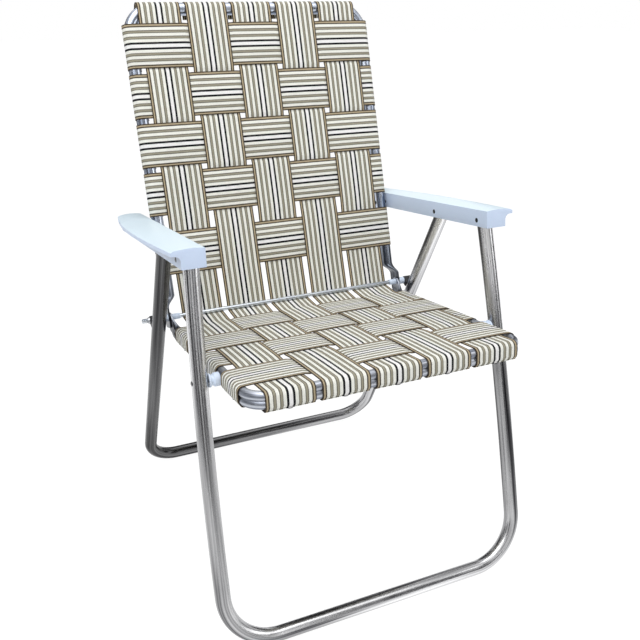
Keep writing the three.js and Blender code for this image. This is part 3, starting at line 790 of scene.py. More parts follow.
def soften(
    obj: bpy.types.Object, radius: float, segments: int = 3, angle: float = 32.0
) -> bpy.types.Object:
    """Rounds the sharp edges of a piece and shades the rest smooth.

    Args:
        obj: The piece.
        radius: Radius of the rounding in millimetres.
        segments: Facets in each rounding.
        angle: Edges sharper than this, in degrees, are rounded.

    Returns:
        The piece with its rounding baked in.
    """
    bevel = obj.modifiers.new("rounding", "BEVEL")
    bevel.width = radius * MM
    bevel.segments = segments
    bevel.limit_method = "ANGLE"
    bevel.angle_limit = math.radians(angle)
    bevel.use_clamp_overlap = True
    bake(obj)
    smooth(obj.data, angle)
    return obj


def smooth(mesh: bpy.types.Mesh, angle: float = 32.0) -> None:
    """Shades a mesh smooth except at edges sharper than an angle in degrees."""
    mesh.shade_smooth()
    mesh.set_sharp_from_angle(angle=math.radians(angle))


def closed_mesh(name: str, build: Callable[[bmesh.types.BMesh], None]) -> bpy.types.Mesh:
    """A mesh from a builder, with doubles merged and its faces turned outwards.

    Args:
        name: Name of the mesh.
        build: Fills the bmesh that it is given.

    Returns:
        The new mesh.
    """
    work = bmesh.new()
    build(work)
    bmesh.ops.remove_doubles(work, verts=work.verts, dist=1e-6)
    bmesh.ops.dissolve_degenerate(work, edges=work.edges, dist=1e-7)
    bmesh.ops.recalc_face_normals(work, faces=work.faces)
    mesh = bpy.data.meshes.new(name)
    work.to_mesh(mesh)
    work.free()
    return mesh


def skin(rings: Sequence[Sequence[Vector]], ring_closed: bool, capped: bool) -> Callable:
    """Builder of the surface over rings of points.

    Args:
        rings: Rings with as many points each.
        ring_closed: True if the last ring joins the first.
        capped: True if the first and last ring get a face.

    Returns:
        A function for closed_mesh.
    """

    def build(work: bmesh.types.BMesh) -> None:
        """Adds the faces between the rings, and a UV map in metres round and along them.

        Args:
            work: The bmesh to fill.
        """
        rows = [[work.verts.new(point) for point in ring] for ring in rings]
        uv = work.loops.layers.uv.new("UVMap")
        count = len(rows[0])
        girth = [0.0]
        for i in range(count):
            girth.append(girth[-1] + (rings[0][(i + 1) % count] - rings[0][i]).length)
        along = [0.0]
        for a, b in zip(rings, rings[1:]):
            steps = (sum(a, Vector()) - sum(b, Vector())) / count
            along.append(along[-1] + steps.length)
        pairs = list(zip(range(len(rows)), range(1, len(rows))))
        if ring_closed:
            pairs.append((len(rows) - 1, 0))
        for a, b in pairs:
            for i in range(count):
                j = (i + 1) % count
                face = work.faces.new((rows[a][i], rows[a][j], rows[b][j], rows[b][i]))
                corners = ((i, a), (i + 1, a), (i + 1, b), (i, b))
                for loop, (around, ring) in zip(face.loops, corners):
                    loop[uv].uv = (girth[around], along[ring])
        if capped:
            work.faces.new(rows[0])
            work.faces.new(rows[-1])

    return build


@dataclass(frozen=True)
class Station:
    """A section of a bent tube: where it is in the frame's plane, which way is out, and its outline."""

    at: Point
    out: Point
    outline: Sequence[Point]

    def mirrored(self) -> "Station":
        """The same section on the other side."""
        return Station((-self.at[0], self.at[1]), (-self.out[0], self.out[1]), self.outline)


@dataclass(frozen=True)
class BentTube:
    """A hollow tube bent to a U in one plane, from the middle of its bar to both ends."""

    outer: Sequence[Station]
    inner: Sequence[Station]
    to_frame: Callable[[float, float, float], Vector]

    def rings(self, half: Sequence[Station]) -> list[list[Vector]]:
        """Rings of one skin, from one end through the middle to the other.

        Args:
            half: Stations from the middle of the bar to one end.

        Returns:
            The rings, as points of the chair's frame.
        """
        stations = [station.mirrored() for station in reversed(half[1:])] + list(half)
        return [
            [
                self.to_frame(
                    station.at[0] + station.out[0] * across,
                    station.at[1] + station.out[1] * across,
                    rise,
                )
                for across, rise in station.outline
            ]
            for station in stations
        ]

    def object(self, name: str, finish: Finish) -> bpy.types.Object:
        """The tube as one closed piece, outer skin, bore and ends.

        Args:
            name: Name of the piece.
            finish: Its finish.

        Returns:
            The piece, not yet on a body.
        """
        rings = self.rings(self.outer) + list(reversed(self.rings(self.inner)))
        obj = new_object(name, closed_mesh(name, skin(rings, True, False)), finish)
        smooth(obj.data, 40.0)
        return obj


def round_outline(radius: float, sides: int = 48) -> list[Point]:
    """Points round a circle."""
    turns = [2 * math.pi * i / sides for i in range(sides)]
    return [(radius * math.cos(turn), radius * math.sin(turn)) for turn in turns]


def lobed_outline(height: float, depth: float, steps: int = 26) -> list[Point]:
    """Outline of a tube drawn in along its middle, so that two round lobes stand on each other.

    Args:
        height: Height over both lobes.
        depth: Diameter of a lobe.
        steps: Points on each lobe.

    Returns:
        The outline.
    """
    radius, offset = depth / 2, (height - depth) / 2
    waist = math.asin(offset / radius)
    points = []
    for side in (1, -1):
        for i in range(steps):
            turn = -waist + i / steps * (math.pi + 2 * waist) + (math.pi if side < 0 else 0)
            points.append((radius * math.cos(turn), side * offset + radius * math.sin(turn)))
    return points


def flattened(
    outline: Sequence[Point], share: float, thickness: float, height: float, edge: float = 0.35
) -> list[Point]:
    """An outline pressed towards a flat plate.

    Args:
        outline: The tube's outline.
        share: How far it is pressed, from 0 to 1.
        thickness: Thickness of the plate.
        height: Height of the plate.
        edge: Share of the tube's half width that ends up in the plate's rounded edges.

    Returns:
        The pressed outline.
    """
    reach = max(across for across, _ in outline)
    rise = max(up for _, up in outline)
    points = []
    for across, up in outline:
        flat = max(-1.0, min(1.0, across / (reach * edge))) * thickness / 2
        points.append((mix(across, flat, share), mix(up, up / rise * height / 2, share)))
    return points


def corner(
    half_width: float, bar_at: float, radius: float, away: int, outline: Sequence[Point], steps: int = 20
) -> list[Station]:
    """Stations from the middle of a cross bar round its corner to the start of the side.

    Args:
        half_width: Half width between the sides' middles.
        bar_at: Where the bar is.
        radius: Bend radius of the corner.
        away: +1 where the bar is at the high end, -1 at the low end.
        outline: Section of the tube.
        steps: Sections round the bend.

    Returns:
        The stations.
    """
    stations = [Station((0, bar_at), (0, away), outline)]
    for i in range(steps + 1):
        turn = i / steps * math.pi / 2
        out = (math.sin(turn), away * math.cos(turn))
        at = (half_width - radius + out[0] * radius, bar_at - away * radius + out[1] * radius)
        stations.append(Station(at, out, outline))
    return stations


def plate_end(rounding: float, steps: int = 6) -> list[Point]:
    """How far along and how much narrower a plate is, round the corners of its end.

    Args:
        rounding: Radius of the corners.
        steps: Sections round each corner.

    Returns:
        Pairs of a length along the plate and what its width loses there.
    """
    turns = [math.pi / 2 * i / steps for i in range(1, steps)]
    return [(0.0, 0.0)] + [
        (rounding * math.sin(turn), 2 * rounding * (1 - math.cos(turn))) for turn in turns
    ]


@dataclass(frozen=True)
class BackFrame:
    """The back's tube: a U, pressed flat below the seat where the rod goes through."""

    tube: float = 22.2
    wall: float = 1.25
    half_width: float = 233.2
    setback: float = 19.8
    top: float = 554.4
    corner_radius: float = 47.0
    flatten_top: float = 39.0
    flatten_bottom: float = 17.0
    end_below: float = 20.0
    plate: float = 3.0
    slit: float = 0.5
    plate_width: float = 33.0
    plate_forward: float = 10.5
    end_rounding: float = 7.0
    arm_pivot: float = 165.6
    steps: int = 14

    @property
    def outer_x(self) -> float:
        """Outer face of the tube and of its plate."""
        return self.half_width + self.tube / 2

    def stations(self, radius: float, thickness: float, width: float) -> list[Station]:
        """Half of one skin of the tube.

        Args:
            radius: Radius of the round part.
            thickness: Thickness of the pressed plate.
            width: Width of the pressed plate.

        Returns:
            The stations from the middle of the bar to the lower end.
        """
        outline = round_outline(radius)
        stations = corner(self.half_width, self.top, self.corner_radius, 1, outline)
        shift = self.tube / 2 - self.plate / 2
        levels = [
            (mix(self.flatten_top, self.flatten_bottom, i / self.steps), i / self.steps, 0.0)
            for i in range(self.steps + 1)
        ]
        levels += [
            (self.end_rounding - self.end_below - along, 1.0, narrower)
            for along, narrower in plate_end(self.end_rounding)
        ]
        for above, share, narrower in levels:
            ease = blend_share(share)
            section = flattened(outline, ease, thickness, width - narrower)
            section = [(across, rise - self.plate_forward * ease) for across, rise in section]
            stations.append(Station((self.half_width + shift * ease, above), (1, 0), section))
        return stations

    def build(self) -> None:
        """Makes the tube and rides it on the back."""
        place = LAYOUT.back
        tube = BentTube(
            self.stations(self.tube / 2, self.plate, self.plate_width),
            self.stations(self.tube / 2 - self.wall, self.slit, self.plate_width - 2 * self.plate),
            lambda a, b, rise: place.point(a, self.setback + rise, b),
        )
        place_piece(tube.object("back_tube", BACK_TUBE), Body.BACK, ["back_frame"])


@dataclass(frozen=True)
class SeatFrame:
    """The seat's tube: two-lobed, bent to a U, stepped up and pressed flat at the rod."""

    height: float = 28.0
    depth: float = 16.0
    wall: float = 1.2
    half_width: float = 233.0
    drop: float = 27.1
    reach: float = 413.5
    corner_radius: float = 35.0
    plate: float = 3.0
    slit: float = 0.5
    plate_height: float = 37.0
    plate_rise: float = 16.6
    plate_behind: float = 10.0
    end_rounding: float = 7.0
    flare: Point = (8.0, 32.0)
    step: Point = (3.0, 24.0)
    pivot_reach: float = 291.4
    steps: int = 20

    def stations(self, outline: list[Point], thickness: float, height: float) -> list[Station]:
        """Half of one skin of the tube.

        Args:
            outline: Section of the tube.
            thickness: Thickness of the pressed plate.
            height: Height of the pressed plate.

        Returns:
            The stations from the middle of the front bar to the rear end.
        """
        stations = corner(self.half_width, -self.reach, self.corner_radius, -1, outline)
        shift = self.depth / 2 - self.plate / 2
        (flat_at, flare_at), (low_at, step_at) = self.flare, self.step
        near = self.end_rounding - self.plate_behind
        reaches = [(mix(flare_at, near, i / self.steps), 0.0) for i in range(self.steps + 1)]
        reaches += [(near - along, narrower) for along, narrower in plate_end(self.end_rounding)]
        for reach, narrower in reaches:
            flat = blend_share((flare_at - reach) / (flare_at - flat_at))
            step = min(1.0, max(0.0, (step_at - reach) / (step_at - low_at)))
            section = flattened(outline, flat, thickness, height - narrower)
            section = [(across, rise + self.plate_rise * step) for across, rise in section]
            stations.append(Station((self.half_width + shift * flat, -reach), (1, 0), section))
        return stations

    def build(self) -> None:
        """Makes the tube and rides it on the seat."""
        place = LAYOUT.seat
        outer = lobed_outline(self.height, self.depth)
        inner = lobed_outline(self.height - 2 * self.wall, self.depth - 2 * self.wall)
        tube = BentTube(
            self.stations(outer, self.plate, self.plate_height),
            self.stations(inner, self.slit, self.plate_height - 2 * self.plate),
            lambda a, b, rise: place.point(a, b, rise - self.drop),
        )
        place_piece(tube.object("seat_tube", SEAT_TUBE), Body.SEAT, ["seat_frame"])


@dataclass(frozen=True)
class LegFrame:
    """A pair of legs with their floor bar: one tube whose tips are drawn in under the arms."""

    name: str
    node: str
    body: Body
    lean: float
    top: Point
    bend_radius: float
    half_width: Callable[[float], float]
    finish: Finish
    tube: float = 25.4
    wall: float = 1.25
    floor_facets: int = 12
    steps: int = 12
    tip_steps: int = 8
    tip_turn: float = 9.0
    tip_height: float = 0.88
    tip_width: float = 0.5

    @property
    def foot_height(self) -> float:
        """Height of the floor bar's middle, as packed."""
        return self.tube / 2 * math.cos(math.pi / self.floor_facets)

    @property
    def length(self) -> float:
        """Length along the leg from the floor bar's middle to the pivot in the arm."""
        return (self.top[1] - self.foot_height) / math.cos(math.radians(self.lean))

    def stations(self, off: float) -> list[Station]:
        """Half of one skin of the tube.

        Args:
            off: How far the skin lies inside the outer one.

        Returns:
            The stations from the middle of the floor bar to the drawn in tip.
        """
        radius = self.tube / 2
        outline = round_outline(radius - off)
        stations = corner(self.half_width(self.bend_radius), 0, self.bend_radius, -1, outline)
        for i in range(1, self.steps + 1):
            up = mix(self.bend_radius, self.length, i / self.steps)
            stations.append(Station((self.half_width(up), up), (1, 0), outline))
        for i in range(1, self.tip_steps + 1):
            turn = math.radians(self.tip_turn) * i
            up = self.length + radius * math.sin(turn) * self.tip_height
            tip = round_outline(max(radius * math.cos(turn), radius * self.tip_width) - off)
            stations.append(Station((self.half_width(up), up), (1, 0), tip))
        return stations

    def build(self) -> None:
        """Makes the tube and rides it on its legs."""
        foot_y = self.top[0] - self.length * math.sin(math.radians(self.lean))
        place = Place((foot_y, self.foot_height), -self.lean)
        tube = BentTube(
            self.stations(0), self.stations(self.wall), lambda a, b, rise: place.point(a, rise, b)
        )
        place_piece(tube.object(self.name, self.finish), self.body, [self.node])


@dataclass(frozen=True)
class Stack:
    """Places along the rod, from the middle outwards, and the widths that follow from them."""

    back: BackFrame = BackFrame()
    seat: SeatFrame = SeatFrame()
    gap: float = 0.3
    web: float = 1.2
    arm_running_gap: float = 0.4
    arm_wall: float = 2.6
    arm_channel: float = 32.6
    arm_boss: float = 5.6
    collar_length: float = 15.7
    collar_wall: float = 1.2
    washer: float = 14.0
    guide_half_width: float = 11.0
    nut: float = 13.0
    nut_length: float = 3.3
    rod_overhang: float = 10.9
    spacer_length: float = 17.5
    flare_clearance: float = 0.4
    front_foot: float = 280.5

    @property
    def arm_inner(self) -> float:
        """Inner face of the arm."""
        return self.back.outer_x + self.gap + self.web + self.arm_running_gap

    @property
    def channel(self) -> float:
        """Inner side of the arm's channel."""
        return self.arm_inner + self.arm_wall

    @property
    def rear_leg(self) -> float:
        """Middle of the rear leg."""
        return self.channel + self.arm_boss + self.gap + LAYOUT.leg_tube / 2

    @property
    def front_leg_top(self) -> float:
        """Middle of the front leg in the arm."""
        return self.channel + self.gap + LAYOUT.leg_tube / 2

    @property
    def spacer(self) -> Point:
        """Both ends of the spacer between the seat rail and the front leg."""
        start = self.seat.half_width + self.seat.depth / 2 + self.gap
        return start, start + self.spacer_length

    @property
    def front_leg_seat(self) -> float:
        """Middle of the front leg at the seat pivot."""
        return self.spacer[1] + self.flare_clearance + self.gap + LAYOUT.leg_tube / 2

    @property
    def guide(self) -> Point:
        """Both sides of the guide."""
        return self.rear_leg - self.guide_half_width, self.rear_leg + self.guide_half_width

    def front_half_width(self, up: float) -> float:
        """Half width of the front legs, on a curve through its values at foot, seat and arm.

        Args:
            up: Length up the leg from the floor bar's middle.

        Returns:
            The half width between the legs' middles.
        """
        top, seat = LAYOUT.arm.flat(-LAYOUT.arm_link, 0), joint_point("front_leg_fold")
        legs = front_legs(self)
        knots = (
            (legs.bend_radius, self.front_foot),
            (legs.length - math.dist(top, seat), self.front_leg_seat),
            (legs.length, self.front_leg_top),
        )
        total = 0.0
        for i, (at, value) in enumerate(knots):
            for j, (other, _) in enumerate(knots):
                value *= 1.0 if i == j else (up - other) / (at - other)
            total += value
        return total


def front_legs(stack: Stack) -> LegFrame:
    """The front legs, from their pivots in the arms through the seat's pivots to the floor.

    Args:
        stack: Places across the chair.

    Returns:
        The legs.
    """
    return LegFrame(
        name="front_leg_tube",
        node="front_leg_frame",
        body=Body.FRONT_LEGS,
        lean=LAYOUT.front_lean,
        top=LAYOUT.arm.flat(-LAYOUT.arm_link, 0),
        bend_radius=88.0,
        half_width=stack.front_half_width,
        finish=FRONT_TUBE,
    )


def rear_legs(stack: Stack) -> LegFrame:
    """The rear legs, from their pivots in the arms past the rod to the floor.

    Args:
        stack: Places across the chair.

    Returns:
        The legs.
    """
    return LegFrame(
        name="rear_leg_tube",
        node="rear_leg_frame",
        body=Body.REAR_LEGS,
        lean=-LAYOUT.rear_lean,
        top=joint_point("rear_leg_fold"),
        bend_radius=62.0,
        half_width=lambda up: stack.rear_leg,
        finish=REAR_TUBE,
    )


def geometry_tree(name: str, sizes: Sequence[str]) -> tuple[Graph, bpy.types.Node]:
    """A geometry tree that takes a geometry, some sizes and a material, and gives a geometry.

    Args:
        name: Name of the tree.
        sizes: Names of the size inputs.

    Returns:
        The tree's graph and its input node.
    """
    tree = bpy.data.node_groups.new(name, "GeometryNodeTree")
    tree.interface.new_socket("Geometry", in_out="INPUT", socket_type="NodeSocketGeometry")
    for label in sizes:
        tree.interface.new_socket(label, in_out="INPUT", socket_type="NodeSocketFloat")
    tree.interface.new_socket("Material", in_out="INPUT", socket_type="NodeSocketMaterial")
    tree.interface.new_socket("Geometry", in_out="OUTPUT", socket_type="NodeSocketGeometry")
    graph = Graph(tree)
    return graph, graph.add("NodeGroupInput")


def close_tree(graph: Graph, geometry: bpy.types.NodeSocket, start: bpy.types.Node) -> None:
    """Ends a tree in Realize Instances and Set Material.

    Args:
        graph: The tree to end.
        geometry: Its geometry so far.
        start: Its input node.
    """
    real = graph.add("GeometryNodeRealizeInstances", {"Geometry": geometry}).outputs[0]
    values = {"Geometry": real, "Material": start.outputs["Material"]}
    dressed = graph.add("GeometryNodeSetMaterial", values)
    graph.add("NodeGroupOutput", {0: dressed.outputs[0]})


def run_tree(
    name: str, source: bpy.types.Mesh, tree: bpy.types.NodeTree, values: dict[str, object]
) -> bpy.types.Object:
    """Runs a geometry tree on a mesh and bakes the result.

    Args:
        name: Name of the piece.
        source: Mesh that the tree starts from.
        tree: The tree.
        values: Input names to values.

    Returns:
        The baked piece.
    """
    obj = new_object(name, source)
    modifier = obj.modifiers.new(tree.name, "NODES")
    modifier.node_group = tree
    for item in tree.interface.items_tree:
        if item.in_out == "INPUT" and item.name in values:
            modifier[item.identifier] = values[item.name]
    return bake(obj)


class StrapTree:
    """Sweeps a rounded flat section along a path, with a UV map in metres across and along."""

    sizes = ("Width", "Thickness", "Edge Radius")

    def __init__(self) -> None:
        """Builds the tree."""
        graph, start = geometry_tree("webbing_strap", self.sizes)
        self.tree, out = graph.tree, start.outputs
        path = graph.add("GeometryNodeMeshToCurve", {0: out["Geometry"]})
        upright = graph.add("GeometryNodeSetCurveNormal", {0: path.outputs[0]}, mode="Z_UP")
        length = graph.add("GeometryNodeSplineParameter").outputs["Length"]
        measured = graph.stored(upright.outputs[0], "along", length)
        flat = {"Width": out["Thickness"], "Height": out["Width"]}
        sharp = graph.add("GeometryNodeCurvePrimitiveQuadrilateral", flat).outputs[0]
        edges = {"Curve": sharp, "Radius": out["Edge Radius"], "Count": 3}
        rounded = graph.add("GeometryNodeFilletCurve", edges, mode="POLY").outputs[0]
        place = graph.add("GeometryNodeInputPosition").outputs[0]
        from_middle = graph.add("ShaderNodeSeparateXYZ", {0: place}).outputs["Y"]
        across = graph.math("ADD", from_middle, graph.math("MULTIPLY", out["Width"], 0.5))
        sweep = {"Curve": measured, "Profile Curve": graph.stored(rounded, "across", across)}
        swept = graph.add("GeometryNodeCurveToMesh", {**sweep, "Fill Caps": True}).outputs[0]
        uv = graph.vector(X=graph.attribute("across"), Y=graph.attribute("along"))
        close_tree(graph, graph.stored(swept, "UVMap", uv, "FLOAT2", "CORNER"), start)


def path_mesh(name: str, points: Sequence[Point]) -> bpy.types.Mesh:
    """A mesh of edges along a flat path.

    Args:
        name: Name of the mesh.
        points: The path in millimetres.

    Returns:
        The mesh, in metres.
    """
    mesh = bpy.data.meshes.new(name)
    places = [(a * MM, b * MM, 0.0) for a, b in points]
    mesh.from_pydata(places, [(i, i + 1) for i in range(len(places) - 1)], [])
    return mesh


def arc(centre: Point, radius: float, start: float, end: float, steps: int) -> list[Point]:
    """Points round an arc.

    Args:
        centre: Middle of the arc.
        radius: Its radius.
        start: Angle of the first point in degrees.
        end: Angle of the last point in degrees.
        steps: Steps between them.

    Returns:
        The points.
    """
    turns = [math.radians(mix(start, end, i / steps)) for i in range(steps + 1)]
    return [(centre[0] + radius * math.cos(t), centre[1] + radius * math.sin(t)) for t in turns]


@dataclass(frozen=True)
class Crossing:
    """A stretch of a strap at a crossing, and on which side of the weave's plane it runs."""

    start: float
    end: float
    level: float


@dataclass(frozen=True)
class Webbing:
    """Fourteen straps: five rows on the back, four on the seat and five long columns."""

    stack: Stack = Stack()
    width: float = 78.6
    thickness: float = 1.2
    edge_radius: float = 0.5
    offset: float = 0.75
    belly: float = 0.3
    pitch: float = 88.4
    columns: int = 5
    tail: float = 14.0
    hem_step: float = 1.45
    hem_turn: float = 28.0
    back_row_tops: tuple[float, ...] = (527, 439.3, 351.6, 263.9, 155)
    seat_row_starts: tuple[float, ...] = (36, 118.4, 200.8, 303.2)
    hinge_share: float = 0.6

    @property
    def orbit(self) -> float:
        """Distance of a strap's middle from a back tube's middle."""
        return self.stack.back.tube / 2 + self.stack.gap + self.thickness / 2

    @property
    def lobe_orbit(self) -> float:
        """Distance of a strap's middle from the middle of a lobe of the seat tube."""
        return self.stack.seat.depth / 2 + self.stack.gap + self.thickness / 2

    @property
    def lobe(self) -> float:
        """Distance of a lobe's middle from the seat tube's middle."""
        return (self.stack.seat.height - self.stack.seat.depth) / 2

    @property
    def back_plane(self) -> float:
        """Plane of the weave in the back's frame."""
        return self.stack.back.setback - self.orbit

    @property
    def seat_plane(self) -> float:
        """Plane of the weave in the seat's frame."""
        return self.lobe + self.lobe_orbit - self.stack.seat.drop

    def column_x(self, column: int) -> float:
        """Middle of a column."""
        return (column - (self.columns - 1) / 2) * self.pitch

    @staticmethod
    def row_is_over(row: int, column: int) -> int:
        """+1 where the row lies on the sitter's side of the column, else -1."""
        return 1 if (row + column) % 2 == 0 else -1

    def woven(self, crossings: Sequence[Crossing], plane: float) -> list[Point]:
        """Points of a strap over and under its crossings, easing between them.

        Args:
            crossings: The crossings in the order of the path.
            plane: The weave's plane.

        Returns:
            Points as (place along the strap, distance from the frame's origin).
        """
        points: list[Point] = []
        for number, crossing in enumerate(crossings):
            level = plane + crossing.level * self.offset
            if number:
                last = points[-1]
                for i in range(1, 6):
                    share = i / 6
                    points.append(
                        (mix(last[0], crossing.start, share), mix(last[1], level, blend_share(share)))
                    )
            for i in range(13):
                swell = self.belly * math.sin(math.pi * i / 12) * crossing.level
                points.append((mix(crossing.start, crossing.end, i / 12), level + swell))
        return points

    def hem_end(self, centre: Point, orbit: float, inwards: int, rise: int) -> list[Point]:
        """Tail of a strap that has come round a tube, folded back over itself under its screw.

        Args:
            centre: The tube's middle.
            orbit: Distance of the strap from the tube's middle.
            inwards: Direction of the tail along the first coordinate.
            rise: Side of the tube, along the second coordinate, on which the tail lies.

        Returns:
            The points from the fold to the strap's end.
        """
        tip, radius = centre[0] + inwards * self.tail, self.hem_step / 2
        middle = centre[1] + rise * (orbit + radius)
        fold = [
            (tip + inwards * radius * math.cos(turn), middle + rise * radius * math.sin(turn))
            for turn in (math.pi / 2 * i / 3 for i in range(-3, 4))
        ]
        outer = orbit + self.hem_step
        end = [
            (centre[0] - inwards * outer * math.sin(turn), centre[1] + rise * outer * math.cos(turn))
            for turn in (math.radians(self.hem_turn) * i / 4 for i in range(5))
        ]
        return fold + end

    def row_crossings(self, row: int, facing: int) -> list[Crossing]:
        """Crossings of a row with the columns.

        Args:
            row: Number of the row.
            facing: +1 or -1, the sitter's side of the plane.

        Returns:
            The crossings from the sitter's right to the left.
        """
        return [
            Crossing(
                self.column_x(column) - self.width / 2,
                self.column_x(column) + self.width / 2,
                facing * self.row_is_over(row, column),
            )
            for column in range(self.columns)
        ]

    def back_row_path(self, row: int) -> list[Point]:
        """Path of a row in the back's frame, as (x, y).

        Args:
            row: Number of the row, from the top.

        Returns:
            The path from hem to hem.
        """
        centre = (self.stack.back.half_width, self.stack.back.setback)
        half = arc(centre, self.orbit, -90, 90, 18) + self.hem_end(centre, self.orbit, -1, 1)
        start = [(-x, y) for x, y in reversed(half)]
        return start + self.woven(self.row_crossings(row, -1), self.back_plane) + half

    def seat_row_path(self, row: int) -> list[Point]:
        """Path of a row in the seat's frame, as (x, z).

        Args:
            row: Number of the row, from the rear.

        Returns:
            The path from hem to hem.
        """
        rail = self.stack.seat
        low = -self.lobe - rail.drop
        half = arc((rail.half_width, self.lobe - rail.drop), self.lobe_orbit, 90, 0, 10)
        half += arc((rail.half_width, low), self.lobe_orbit, 0, -90, 10)
        half += self.hem_end((rail.half_width, low), self.lobe_orbit, -1, -1)
        start = [(-x, z) for x, z in reversed(half)]
        return start + self.woven(self.row_crossings(row + 1, 1), self.seat_plane) + half

    def column_path(self, column: int) -> list[Point]:
        """Path of a long strap in the chair's side view, as (y, z).

        Args:
            column: Number of the column, from the sitter's right.

        Returns:
            The path from the hem over the top of the back to the hem under the front of the seat.
        """
        back, seat = self.stack.back, self.stack.seat
        hem = self.hem_end((back.top, back.setback), self.orbit, -1, 1)
        over_top = [(y, z) for z, y in reversed(hem)]
        over_top += arc((back.setback, back.top), self.orbit, 0, 180, 18)
        down = [
            Crossing(top, top - self.width, self.row_is_over(row, column))
            for row, top in enumerate(self.back_row_tops)
        ]
        over_top += [(y, z) for z, y in self.woven(down, self.back_plane)]
        along = [
            Crossing(-start, -start - self.width, -self.row_is_over(row + 1, column))
            for row, start in enumerate(self.seat_row_starts)
        ]
        low = -self.lobe - seat.drop
        over_front = arc((-seat.reach, self.lobe - seat.drop), self.lobe_orbit, 90, 180, 10)
        over_front += arc((-seat.reach, low), self.lobe_orbit, 180, 270, 10)
        over_front += self.hem_end((-seat.reach, low), self.lobe_orbit, 1, -1)
        above = [LAYOUT.back.flat(y, z) for y, z in over_top]
        ahead = [LAYOUT.seat.flat(y, z) for y, z in self.woven(along, self.seat_plane) + over_front]
        return above + self.rod_turn(above[-1], ahead[0]) + ahead

    @property
    def rod_orbit(self) -> float:
        """Distance of a long strap's middle from the rod's middle where it passes round it."""
        return LAYOUT.rod_diameter / 2 + self.stack.gap + self.thickness / 2

    def rod_turn(self, above: Point, ahead: Point) -> list[Point]:
        """Points of a long strap where it passes behind and under the rod.

        Args:
            above: Last point on the back, in the chair's side view.
            ahead: First point on the seat.

        Returns:
            Points round the rod, which the strap meets and leaves straight.
        """
        rod, orbit = joint_point("seat_fold"), self.rod_orbit
        from_rod = [(point[0] - rod[0], point[1] - rod[1]) for point in (above, ahead)]
        angles = [math.atan2(z, y) for y, z in from_rod]
        leans = [math.acos(orbit / math.hypot(*point)) for point in from_rod]
        first, last = angles[0] - leans[0], angles[1] + leans[1]
        turns = [mix(first, last, i / 16) for i in range(17)]
        return [(rod[0] + orbit * math.cos(turn), rod[1] + orbit * math.sin(turn)) for turn in turns]

    def strap(
        self, tree: bpy.types.NodeTree, name: str, path: Sequence[Point], to_frame: Matrix
    ) -> bpy.types.Object:
        """One strap along a path.

        Args:
            tree: The tree that sweeps it.
            name: Name of the piece.
            path: The path in millimetres, in a plane.
            to_frame: Matrix from the path's plane to the chair's frame.

        Returns:
            The strap, not yet on a body.
        """
        values = {
            "Width": self.width * MM,
            "Thickness": self.thickness * MM,
            "Edge Radius": self.edge_radius * MM,
            "Material": WEBBING.material(),
        }
        obj = run_tree(name, path_mesh(name, path), tree, values)
        obj.data.transform(to_frame)
        for extra in ("along", "across"):
            found = obj.data.attributes.get(extra)
            if found:
                obj.data.attributes.remove(found)
        smooth(obj.data, 50.0)
        return obj

    def build(self) -> None:
        """Makes all the straps."""
        tree = StrapTree().tree
        for row, top in enumerate(self.back_row_tops):
            shift = Matrix.Translation((0, 0, (top - self.width / 2) * MM))
            name, path = f"back_row_strap_{row + 1}", self.back_row_path(row)
            obj = self.strap(tree, name, path, LAYOUT.back.matrix() @ shift)
            place_piece(obj, Body.BACK, [f"back_row_{row + 1}"])
        for row, start in enumerate(self.seat_row_starts):
            middle = -(start + self.width / 2) * MM
            turn = Matrix(((1, 0, 0, 0), (0, 0, -1, middle), (0, 1, 0, 0), (0, 0, 0, 1)))
            name, path = f"seat_row_strap_{row + 1}", self.seat_row_path(row)
            obj = self.strap(tree, name, path, LAYOUT.seat.matrix() @ turn)
            place_piece(obj, Body.SEAT, [f"seat_row_{row + 1}"])
        for column in range(self.columns):
            x = self.column_x(column) * MM
            turn = Matrix(((0, 0, 1, x), (1, 0, 0, 0), (0, 1, 0, 0), (0, 0, 0, 1)))
            obj = self.strap(tree, f"long_strap_{column + 1}", self.column_path(column), turn)
            self.hinge(obj)
            nodes = [f"back_strap_{column + 1}", f"seat_strap_{column + 1}"]
            place_piece(obj, None, nodes)

    def hinge(self, obj: bpy.types.Object) -> None:
        """Bakes a long strap's place into its mesh, as it rides on no body.

        Args:
            obj: The strap.
        """
        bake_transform(obj)


